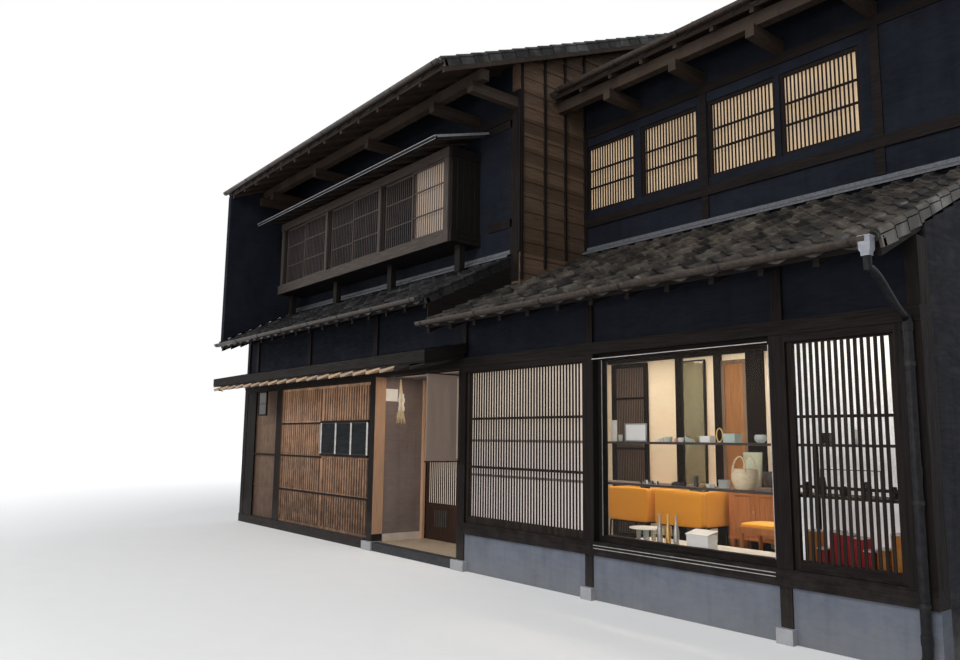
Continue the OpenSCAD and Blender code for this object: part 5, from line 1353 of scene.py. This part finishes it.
# %% Paper screens
GLOWING, UNLIT, GLOWING_BACKING, SHADOW, DIM = range(5)
screens = Bench()
for bay, next_post in zip(BAY_POSTS, BAY_POSTS[1:]):
    middle = (bay + 150 + next_post) / 2
    screens.box(bay + 150.6, middle, 362, 366, 4110.5, 5099.5, UNLIT)
    screens.box(middle, next_post - 0.6, 362, 366, 4110.5, 5099.5, DIM if bay == BAY_POSTS[2] else UNLIT)
screens.boxes([(x + 1, x + 854, 2051, 2055, 4460.5, 5374.5) for x in (6344.9, 7299.6, 8291.2, 9196.2)], GLOWING)
screens.box(6336.5, 8173.5, 76, 80.5, 525.5, 2203.5, GLOWING_BACKING)
screens.boxes([(6336.5, 8173.5, 72, 76.5, z, z + 26) for z in (1040.0, 1420.0)], SHADOW)
screens.piece("paper_screens_lit_and_dark", [paper_glow, paper_dark, glowing_shelf_backing, backing_shade, dim_paper],
              "screen_paper", stands_for=["paper_screens"])

# %% [markdown]
# ## Light in the shop
# The shop is seen through clear glass, so it needs its own light, or it would be a black hole under studio lamps.
# Flat panels in the ceiling glow softly. They are part of the building, as real ones are.

# %% Ceiling panels
WHITE_RIM, RECESS_PANEL, BLACK_RIM = 1, 2, 3
lights = Bench()
for x in (5700.0, 6900.0, 8100.0, 9300.0):
    for y in (1250.0, 2450.0):
        lights.box(x, x + 760, y, y + 240, 2728, 2749.5)
        lights.boxes([(x - 14, x + 774, rim, rim + 14, 2722, 2749.5) for rim in (y - 14, y + 240)],
                     WHITE_RIM)
lights.box(10180, 11080, 150, 172, 2230, 2290)
lights.box(4600, 5980, 165, 320, 2259, 2262.5, RECESS_PANEL)
lights.boxes([(4585, 5995, y, y + 14, 2253, 2262.5) for y in (150.5, 320.5)], BLACK_RIM)
lights.piece("ceiling_light_panels", [ceiling_light, plain_white, recess_light, BLACK[0]], "opal_glass")

# %% [markdown]
# ## The back wall of the shop
# Behind the window are a dark lattice door, cream plaster between dark posts, a tall pane in front of a warm wooden
# panel, and a picture rail. They sit on the measured back wall, so they move with it and stay clear of the chairs.

# %% Back wall fittings
WALL_Y, FLOOR_Z, LATTICE_BARS = 3299.5, 101, 17
DARK, PANEL, BROWN_FRAME, PANE, IRON, GREY, DOOR_BAR = range(7)
fittings = Bench()


def on_wall(x0, x1, out, back, z0, z1, ink=DARK):
    """A board that stands off the back wall, between two distances from it."""
    fittings.box(x0, x1, WALL_Y - out, WALL_Y - back, z0, z1, ink)


frame_round(fittings, 5620, 6280, FLOOR_Z, 2560, 62, WALL_Y - 44, WALL_Y - 8, DARK)
on_wall(5682, 6218, 12, 9, 163, 2498, GREY)
for k in range(LATTICE_BARS):
    x = 5682 + (k + 0.5) * 536 / LATTICE_BARS
    on_wall(x - 8, x + 8, 24, 14, 163, 2498, DOOR_BAR)
for z in (640, 1330, 2040):
    on_wall(5682, 6218, 30, 16, z, z + 30)
on_wall(4410, 11100, 36, 0, 2575, 2650)
for x in (4300.0, 6762.5, 7373.2, 7846.0, 10210.0):
    on_wall(x - 3, x + 113, 33.5, -1, 100.6, 2749)
frame_round(fittings, 6885, 7250, FLOOR_Z, 2530, 22, WALL_Y - 60, WALL_Y - 28, IRON)
on_wall(6907, 7228, 50, 44, 123, 2508, PANE)
on_wall(6900, 7235, 20, 0, FLOOR_Z, 2510, PANEL)
on_wall(7486, 7844, 22, 0, FLOOR_Z, 2495, PANEL)
frame_round(fittings, 7486, 7844, FLOOR_Z, 2495, 46, WALL_Y - 34, WALL_Y - 22, BROWN_FRAME)
on_wall(7958, 8090, 40, 0, FLOOR_Z, 2600)
for x0, x1 in ((6290, 6760), (7252, 7370), (8092, 10208)):
    on_wall(x0, x1, 14, 0, FLOOR_Z, 190)
fittings.piece("back_wall_fittings", [BLACK[2], panel_wood, BROWN[2], tinted_pane, black_iron, mauve, EAVE[2]],
               "cream_plaster", bevel=1.5)

# %% [markdown]
# ## Padded armchairs
# The two tub chairs are upholstered all over: a back and two arms that hold a loose seat. A box would look like a
# box, so each pad is a closed form made from a fine cube. Its corners are rounded by a power curve, its faces swell
# in the middle and its edges pull in between the corners. Seams run round the pads as thin piping.


# %% A padded form
def pad(bench, x0, x1, y0, y1, z0, z1, swell, fine=12, power=7.0):
    """A crowned, stuffed block. swell is the crown of each pair of faces, as a share of the half size."""
    middle = ((x0 + x1) / 2, (y0 + y1) / 2, (z0 + z1) / 2)
    half = ((x1 - x0) / 2, (y1 - y0) / 2, (z1 - z0) / 2)
    grid, corners, quads = {}, [], []

    def corner(key):
        if key not in grid:
            raw = [2 * k / fine - 1 for k in key]
            eased = [math.sin(v * math.pi / 2) * 0.35 + v * 0.65 for v in raw]
            reach = max(abs(v) for v in eased) or 1.0
            length = sum(abs(v) ** power for v in eased) ** (1 / power)
            spot = [v * reach / length for v in eased]
            for axis in range(3):
                b, c = [spot[i] for i in range(3) if i != axis]
                spot[axis] *= (1 - swell[axis]) + swell[axis] * (1 - b ** 2) * (1 - c ** 2)
            grid[key] = len(corners)
            corners.append(tuple(m + h * v for m, h, v in zip(middle, half, spot)))
        return grid[key]

    for axis in range(3):
        a, b = [i for i in range(3) if i != axis]
        for end, i, j in product((0, fine), range(fine), range(fine)):
            face = []
            for di, dj in ((0, 0), (1, 0), (1, 1), (0, 1)):
                key = [end] * 3
                key[a], key[b] = i + di, j + dj
                face.append(corner(tuple(key)))
            quads.append(tuple(face))
    bench.add(corners, quads)


def piping(bench, x0, x1, y0, y1, z, round_by, radius=3.2):
    """A cord round a pad: a rectangle with round corners, on one level."""
    loop = []
    for x, y, start in ((x1 - round_by, y1 - round_by, 0), (x0 + round_by, y1 - round_by, 90),
                        (x0 + round_by, y0 + round_by, 180), (x1 - round_by, y0 + round_by, 270)):
        loop += round_about(x, y, round_by, [math.radians(start + k * 18) for k in range(6)])
    bench.tube([(x, y, z) for x, y in loop], radius, 7, 1, closed=True)


print("pads and piping can be made")


# %% Two armchairs
for number, x0 in ((1, 6210.0), (2, 7020.0)):
    x1, y0, y1 = x0 + 700, 2450.0, 3070.0
    tub = Bench()
    pad(tub, x0 + 2, x1 - 2, y0 + 2, y0 + 108, 434, 858, (0.01, 0.14, 0.02), 14, 16)
    for a in (x0 + 2, x1 - 104):
        pad(tub, a, a + 102, y0 + 92, y1 - 3, 434, 852, (0.14, 0.02, 0.02), 14, 16)
    tub = tub.piece(f"armchair_tub_{number}", orange_cloth, "orange_cloth", stands_for=["shop_seats"], smooth=60)
    seat = Bench()
    pad(seat, x0 + 106, x1 - 106, y0 + 112, y1 - 12, 446, 600, (0.03, 0.03, 0.30))
    piping(seat, x0 + 110, x1 - 110, y0 + 116, y1 - 16, 560, 46)
    seat = seat.piece(f"armchair_seat_{number}", [orange_cloth, orange_piping], "orange_cloth", smooth=60)
    legs = Bench()
    legs.box(x0 + 50, x1 - 50, y0 + 50, y1 - 40, 420, 446)
    for x, dx in ((x0 + 52, -12), (x1 - 52, 12)):
        for y, dy in ((y0 + 52, -12), (y1 - 52, 12)):
            legs.tube([(x, y, 424), (x + dx, y + dy, 100.6)], [12, 7.5], 12)
    legs.piece(f"armchair_legs_{number}", black_iron, "iron", smooth=40)

# %% [markdown]
# ## Cabinet and stool
# A panelled cabinet stands on short curved legs against the back wall, and a stool with an upholstered seat is
# drawn up to it. The legs swell at the knee and curl in at the foot, so they are tubes along a bent path with a
# radius for each point.

# %% Side cabinet
CAB_X0, CAB_X1, CAB_Y0, CAB_Y1 = 7790.0, 8890.0, 2868.0, 3268.0
LEG = [(0, 326, 34), (4, 296, 37), (8, 262, 31), (5, 225, 22), (-2, 185, 16), (-4, 150, 15), (4, 122, 20), (8, 106, 22),
       (8, 100.6, 18)]
cabinet = Bench()
cabinet.box(CAB_X0 + 12, CAB_X1 - 12, CAB_Y0 + 12, CAB_Y1 - 4, 330, 884)
cabinet.box(CAB_X0, CAB_X1, CAB_Y0, CAB_Y1, 884, 910)
cabinet.box(CAB_X0 + 4, CAB_X1 - 4, CAB_Y0 + 4, CAB_Y1 - 2, 310, 334)
panel_w = (CAB_X1 - CAB_X0 - 60) / 3
for a in (CAB_X0 + 30 + k * panel_w for k in range(3)):
    frame_round(cabinet, a + 8, a + panel_w - 8, 356, 866, 44, CAB_Y0 + 2, CAB_Y0 + 13)
    cabinet.box(a + 70, a + panel_w - 70, CAB_Y0 + 5, CAB_Y0 + 13, 418, 804)
    knob_x = a + panel_w - 30
    cabinet.tube([(knob_x, CAB_Y0 + 2, 640), (knob_x, CAB_Y0, 640)], [10, 8], 14, 1)
for a in (CAB_X0 + 8, CAB_X1 - 12):
    cabinet.boxes([(a, a + 4, CAB_Y0 + 20, CAB_Y1 - 20, z, z + 50) for z in (350, 820)])
    cabinet.boxes([(a, a + 4, y, y + 50, 400, 820) for y in (CAB_Y0 + 20, CAB_Y1 - 70)])
for x, out in ((CAB_X0 + 44, -0.6), (CAB_X1 - 44, 0.6)):
    for y, forth in ((CAB_Y0 + 42, -0.6), (CAB_Y1 - 46, 0.6)):
        cabinet.tube([(x + out * bend, y + forth * bend, z) for bend, z, r in LEG], [r for bend, z, r in LEG], 14)
cabinet.piece("panelled_cabinet", [red_wood, trim_metal], "brown_timber", stands_for=["side_cabinet"], bevel=2,
              smooth=35)

# %% Stool
ST_X0, ST_X1, ST_Y0, ST_Y1, ST_RAIL, ST_LEG = 8380.0, 8840.0, 2190.0, 2600.0, 26, 36
stool = Bench()
stool.boxes([(ST_X0, ST_X1, y, y + ST_RAIL, 470, 540) for y in (ST_Y0, ST_Y1 - ST_RAIL)])
stool.boxes([(x, x + ST_RAIL, ST_Y0 + ST_RAIL, ST_Y1 - ST_RAIL, 470, 540) for x in (ST_X0, ST_X1 - ST_RAIL)])
for y in (ST_Y0 + 2, ST_Y1 - 38):
    stool.boxes([(x, x + ST_LEG, y, y + ST_LEG, 100.6, 538) for x in (ST_X0 + 2, ST_X1 - 38)])
stool.boxes([(x, x + 14, ST_Y0 + 30, ST_Y1 - 30, 220, 246) for x in (ST_X0 + 20, ST_X1 - 34)])
stool.piece("stool_frame", red_wood, "brown_timber", bevel=3)
stool_pad = Bench()
pad(stool_pad, ST_X0 + 4, ST_X1 - 4, ST_Y0 + 4, ST_Y1 - 4, 520, 596, (0.02, 0.02, 0.45), power=9)
piping(stool_pad, ST_X0 + 8, ST_X1 - 8, ST_Y0 + 8, ST_Y1 - 8, 544, 22, 2.6)
stool_pad = stool_pad.piece("stool_pad", [orange_cloth, orange_piping], "orange_cloth", smooth=60)

# %% [markdown]
# ## Goods on the shelves
# The window shows small plain things: cups, boxes, bottles, a frame and a round straw basket with two loop handles.
# None is lettered. Turned shapes do for the round ones. The basket's wall is woven: its radius swells and shrinks
# a little along each row, out of step with the next row, which is what a weave does to light.


# %% Cups, jars and boxes
UPPER, MIDDLE, LOWER = 1442.5, 1062.5, 525.5
CHINA, LACQUER, WOOD, BRASS, GLASS, STEEL, CELADON, ROSE = range(8)
goods = Bench()


def jar(x, y, z, profile, sides, ink):
    """A turned thing that stands at z."""
    goods.turned(x, y, [(radius, z + up) for radius, up in profile], sides, ink)


def cup(x, y, z, radius, tall, ink, waist=0.8, lid=False):
    profile = [(0.6, 0), (waist, 0.06), (0.95, 0.55), (1, 1)]
    profile += [(1.06, 1), (1.06, 1.14), (0.4, 1.2)] if lid else [(0.9, 1), (0.84, 0.55), (0.5, 0.12)]
    jar(x, y, z, [(radius * r, tall * up) for r, up in profile], 20, ink)


jar(8323, 262, UPPER, [(27, 0), (28, 4), (28, 196), (25, 200)], 24, CHINA)
cup(8412, 250, UPPER, 20, 62, GLASS)
frame_round(goods, 8452, 8712, UPPER, UPPER + 168, 12, 262, 276, STEEL)
goods.box(8462, 8702, 268, 273, UPPER + 10, UPPER + 158, CHINA)
for k, (x, r) in enumerate(((8872, 30), (8925, 24), (8978, 30), (9052, 22), (9108, 26), (9165, 22), (9216, 26))):
    cup(x, 250 + 12 * (k % 2), UPPER, r, 30 + 8 * (k % 3), (CHINA, GLASS, CELADON, ROSE)[k % 4])
goods.box(9330, 9430, 215, 300, UPPER, UPPER + 54, CHINA)
goods.tube([(x, 250, z) for x, z in round_about(9504, UPPER + 62, 30, turns(40), 56 / 30)], 5, 8, BRASS, closed=True)
goods.box(9488, 9520, 236, 264, UPPER, UPPER + 9, BRASS)
goods.box(9568, 9678, 205, 310, UPPER, UPPER + 74, CELADON)
for k in range(9):
    tall = 5 * (k % 2)
    jar(8664 + 22 * k, 238 + 16 * ((k * 5) % 3), MIDDLE, [(8, 0), (9, 22 + tall), (5, 30 + tall)], 12,
        (LACQUER, GLASS, LACQUER, CHINA)[k % 4])
goods.boxes([(9014 + 23 * k, 9030 + 23 * k, 225, 262, MIDDLE, MIDDLE + 26 + 9 * (k % 2)) for k in range(6)], LACQUER)
jar(9254, 255, MIDDLE, [(19, 0), (20, 86), (18, 90)], 20, LACQUER)
for x, y, ink in ((9328, 250, BRASS), (9372, 264, CHINA), (9420, 250, GLASS)):
    cup(x, y, MIDDLE, 24, 30, ink)
cup(9526, 262, MIDDLE, 47, 62, GLASS, 0.95, lid=True)
goods.box(9850, 9985, 215, 330, MIDDLE, MIDDLE + 24, WOOD)
jar(9880, 260, UPPER, [(26, 0), (46, 20), (50, 44), (42, 66), (38, 66), (44, 42), (22, 8)], 24, GLASS)
jar(8060, 3020, 910.5, [(88, 0), (96, 19.5), (104, 269.5), (112, 419.5), (104, 419.5), (94, 269.5), (80, 29.5)], 32,
    CELADON)
jar(8290, 3030, 910.5, [(70, 0), (92, 49.5), (96, 169.5), (88, 199.5), (80, 197.5), (84, 149.5), (60, 19.5)], 28,
    LACQUER)
for x, y in ((8430, 470), (8486, 500), (8540, 455), (8590, 490)):
    cup(x, y, LOWER, 22, 84, GLASS, 0.9, lid=True)
jar(8510, 478, LOWER, [(150, 106), (156, 112), (150, 118)], 32, CHINA)
for x in (8420, 8600):
    jar(x, 478, LOWER, [(8, 0), (7, 107)], 10, BRASS)
for x, ink in ((8704, STEEL), (8800, BRASS), (8890, STEEL)):
    jar(x, 440, LOWER, [(24, 0), (26, 8), (26, 120), (20, 150), (10, 185), (9, 248), (11, 250), (11, 262)], 20, ink)
goods.box(9080, 9300, 330, 470, LOWER, LOWER + 118, CHINA)
goods.prism_x(9074, 9306, [(y, LOWER + up) for y, up in ((322, 118), (476, 150), (476, 158), (322, 126))], CHINA)
goods.piece("window_goods", [white_china, dark_lacquer, BROWN[0], brass, pale_glass, trim_metal, celadon, rose_china],
            "opal_glass", bevel=0.8, smooth=40)

# %% Straw basket
BASKET_X, BASKET_Y, BASKET_R, BASKET_H = 9705.0, 290.0, 106.0, 160.0
ROWS, STAKES = 26, 72
basket = Bench()


def basket_radius(rise):
    return BASKET_R * (0.62 + 0.38 * math.sin(math.pi * (0.06 + 0.70 * rise)))


def basket_ring(level, wall):
    """One ring of the basket's wall, with the weave in its radius."""
    ring = []
    for k, t in enumerate(turns(STAKES)):
        r = basket_radius(level / ROWS) + 1.6 * math.cos(math.pi * (k / 2 + level)) - wall
        ring += [(x, y, MIDDLE + 2 + level / ROWS * BASKET_H) for x, y in round_about(BASKET_X, BASKET_Y, r, [t])]
    return ring


outside = [basket_ring(level, 0) for level in range(ROWS + 1)]
basket.loft(outside + [basket_ring(level, 5) for level in range(ROWS, 0, -1)])
rim = basket_radius(1)
for phase in (0, math.pi):
    cord = []
    for t in turns(108):
        r = rim - 2 + 3 * math.cos(18 * t + phase)
        cord += [(x, y, MIDDLE + BASKET_H + 3 + 3 * math.sin(18 * t + phase))
                 for x, y in round_about(BASKET_X, BASKET_Y, r, [t])]
    basket.tube(cord, 4.2, 7, closed=True)
for side, phase in ((-1, 0), (-1, 3), (1, 0), (1, 3)):
    basket.tube([(BASKET_X + 58 * math.cos(t) + 3 * math.cos(9 * t + phase),
                  BASKET_Y + side * (rim - 4 - 26 * math.sin(t)) + 3 * math.sin(9 * t + phase),
                  MIDDLE + BASKET_H - 14 + 122 * math.sin(t)) for t in half_turn(32)], 5.2, 7)
basket.piece("straw_basket", straw_look, "brown_timber", smooth=50)

# %% Boxes behind the right lattice
RED, ORANGE, LID, BLACKED = range(4)
stock = Bench()
for x, y, wide, tall, ink in (
        (10190, 330, 90, 250, ORANGE), (10290, 300, 80, 130, RED), (10378, 330, 84, 260, RED),
        (10468, 320, 84, 250, RED), (10556, 330, 80, 230, RED), (10644, 300, 74, 150, RED),
        (10730, 320, 84, 170, ORANGE), (10826, 330, 70, 280, ORANGE), (10910, 320, 74, 240, ORANGE)):
    stock.box(x, x + wide, y, y + 120, LOWER, LOWER + tall, ink)
    stock.box(x - 2, x + wide + 2, y - 2, y + 122, LOWER + tall, LOWER + tall + 12, LID)
for x, tall in ((10230, 90), (10360, 130), (10520, 70), (10700, 110), (10880, 84)):
    stock.turned(x, 300, [(26, MIDDLE), (30, MIDDLE + tall * 0.5), (20, MIDDLE + tall)], 16, BLACKED)
vase = [(20, UPPER), (34, UPPER + 30), (30, UPPER + 66), (14, UPPER + 92), (18, UPPER + 104)]
stock.turned(10640, 300, vase, 20, LID)
stock.box(10380, 10450, 260, 330, UPPER, UPPER + 82, BLACKED)
stock.boxes([(10300, 10760, 380, 386, z, z + 6) for z in (MIDDLE + 40, MIDDLE + 184)], BLACKED)
stock.boxes([(x, x + 6, 380, 386, MIDDLE, MIDDLE + 190) for x in (10300, 10754)], BLACKED)
stock.piece("stock_boxes", [red_paper, orange_paper, white_china, dark_lacquer], "screen_paper", bevel=1, smooth=40)
glow_wall = Bench()
glow_wall.box(9950, 11106, 640, 652, 100.5, 2720)
frame_round(glow_wall, 9940, 11108, 100.5, 2740, 30, 652, 690, 1)
glow_wall.piece("white_light_wall", [white_glow, plain_white], "cream_plaster")

# %% [markdown]
# ## Display board, trims and small lines
# The shelves in the window end in a broad white board at sill height. Thin bright metal strips run over and under
# the glass, and they draw the sharpest lines of the whole front.

# %% Shelves
SHELF, FRONT_EDGE = 1, 2
shelving = Bench()
shelving.boxes([(x, x + wide, y, y + 21, 100.6, 1441.5) for x, y, wide in (
    (8221, 181, 38), (10190, 181, 40), (10190, 488, 40), (11050, 181, 40), (11050, 488, 40), (6367, 181, 38),
    (6367, 488, 38))])
for z in (503.2, 1040.0, 1420.0):
    shelving.box(6371, 11086, 186, 504, z + 0.3, z + 21.6, SHELF)
    shelving.box(6371, 11086, 183.5, 186.5, z + 0.5, z + 21.4, FRONT_EDGE)
shelving.piece("window_shelves", [BLACK[2], BROWN[0], BAY[0]], "brown_timber", stands_for=["display_shelves"], bevel=1)

# %% Display board and window trims
trims = Bench()
trims.box(8372, 9930, 506, 760, 488, 524)
trims.boxes([(x, x + 30, 520, 740, 100.6, 488.5) for x in (8400, 9160, 9880)])
trims.box(8384, 10066, 186, 504, 525.2, 526.6)
trims.box(8290, 8303, 131, 196, 526, 2200)
trims.boxes([(8308, 10142, y, -25.2, z, z + 7) for z, y in ((2210, -30.5), (489, -29.5), (462, -29.5))], 1)
trims.boxes([(x, x + 6, 54, 60, 577, 2206) for x in (8352, 10094)], 1)
trims.piece("window_trims", [white_china, trim_metal], "opal_glass", bevel=0.8)

# %% [markdown]
# ## The camera
# A person stands across the street near the right end of the house, holds the camera 1.44 m above the paving and
# looks along the front to the left. The position was found by matching the corners of posts, beams and roofs with
# the picture, which also gives the lens. No shift is needed.

# %% Camera
YAW, PITCH, ROLL = math.radians(-51.3262), math.radians(7.9658), math.radians(0.6986)
view = bpy.data.cameras.new("street_camera")
view.sensor_fit, view.sensor_width, view.lens = "HORIZONTAL", 36.0, 29.423
view.clip_start, view.clip_end = 0.05, 200.0
camera = new_object("street_camera", view)
ahead = Vector((math.sin(YAW) * math.cos(PITCH), math.cos(YAW) * math.cos(PITCH), math.sin(PITCH)))
right = Vector((math.cos(YAW), -math.sin(YAW), 0))
up = right.cross(ahead)
right, up = math.cos(ROLL) * right + math.sin(ROLL) * up, math.cos(ROLL) * up - math.sin(ROLL) * right
turn = Matrix((right, up, -ahead)).transposed().to_4x4()
camera.matrix_world = Matrix.Translation(Vector((7.8461, -10.4288, 1.4408))) @ turn
bpy.context.scene.camera = camera
print("camera at", [round(v, 2) for v in camera.location], "lens", view.lens)

# %% [markdown]
# ## Floor and background
# A pale studio floor carries the house's shadow. What the camera, a mirror or a pane sees of it is mixed towards
# white by the Light Path node, while the light that falls on the house from below stays that of a pale floor.


# %% Floor
def looked_at(graph):
    """1 for what the camera, a mirror or a pane sees, and 0 for light that falls on the house."""
    path = graph.node("LightPath").outputs
    seen = graph.maths("MAXIMUM", path["Is Camera Ray"], path["Is Glossy Ray"])
    return graph.maths("MAXIMUM", seen, path["Is Transmission Ray"])


REACH, BELOW = 60, -0.002
floor_mesh = bpy.data.meshes.new("studio_floor")
floor_corners = [(x * REACH, y * REACH, BELOW) for x, y in ((-1, -1), (1, -1), (1, 1), (-1, 1))]
floor_mesh.from_pydata(floor_corners, [], [(0, 1, 2, 3)])
look = Finish("pale_studio_floor")
away = look.vectors("LENGTH", look.spot, NOWHERE, "Value")
look.shade({"Base Color": look.blend(look.noise(look.spot, 3.0, 4.0), (0.70,) * 3, (0.74,) * 3), "Roughness": 0.9,
            "Emission Strength": look.times(looked_at(look), look.spread(away, 9.0, 24.0, 0.22, 0.9)),
            "Emission Color": (1, 1, 1)})
floor_mesh.materials.append(look.material)
new_object("studio_floor", floor_mesh)
print("floor ready")

# %% World
world = bpy.data.worlds.new("studio_world")
bpy.context.scene.world = world
world.use_nodes = True
sky = Graph(world.node_tree)
sky.tree.nodes.clear()
soft_light = sky.node("Background", {0: (0.93, 0.96, 1.0), 1: 0.36}).outputs[0]
backdrop = sky.node("Background", {0: (1, 1, 1), 1: 1.0}).outputs[0]
either = sky.node("MixShader", {0: looked_at(sky), 1: soft_light, 2: backdrop}).outputs[0]
sky.node("OutputWorld", {0: either})
print("world ready")

# %% [markdown]
# ## Soft studio lamps
# Four large area lamps light the house evenly: a broad key from the street side, high up, a weaker fill from the
# left, a low one that reaches under the eaves, where the most finely made parts are, and one behind the house.


# %% Lamps
def softbox(name, where, aim, size, watts, colour=(1, 1, 1)):
    lamp = bpy.data.lights.new(name, "AREA")
    lamp.shape, lamp.energy, lamp.color = "RECTANGLE", watts, colour
    lamp.size, lamp.size_y = size
    stand = new_object(name, lamp)
    stand.location = where
    stand.rotation_euler = (Vector(aim) - Vector(where)).to_track_quat("-Z", "Y").to_euler()


softbox("key_lamp", (7, -20, 12), (0, -4, 3), (10, 8), 1450)
softbox("fill_lamp", (-14, -16, 7), (-2, -4, 3), (9, 6), 520)
softbox("low_lamp", (4, -17, 1.6), (1, -5, 2.2), (12, 2.4), 360, (1.0, 0.97, 0.93))
softbox("back_lamp", (-6, 22, 14), (0, 5, 5), (12, 8), 900)
bpy.context.scene.view_settings.view_transform = "Standard"
print("lamps placed:", len(bpy.data.lights))
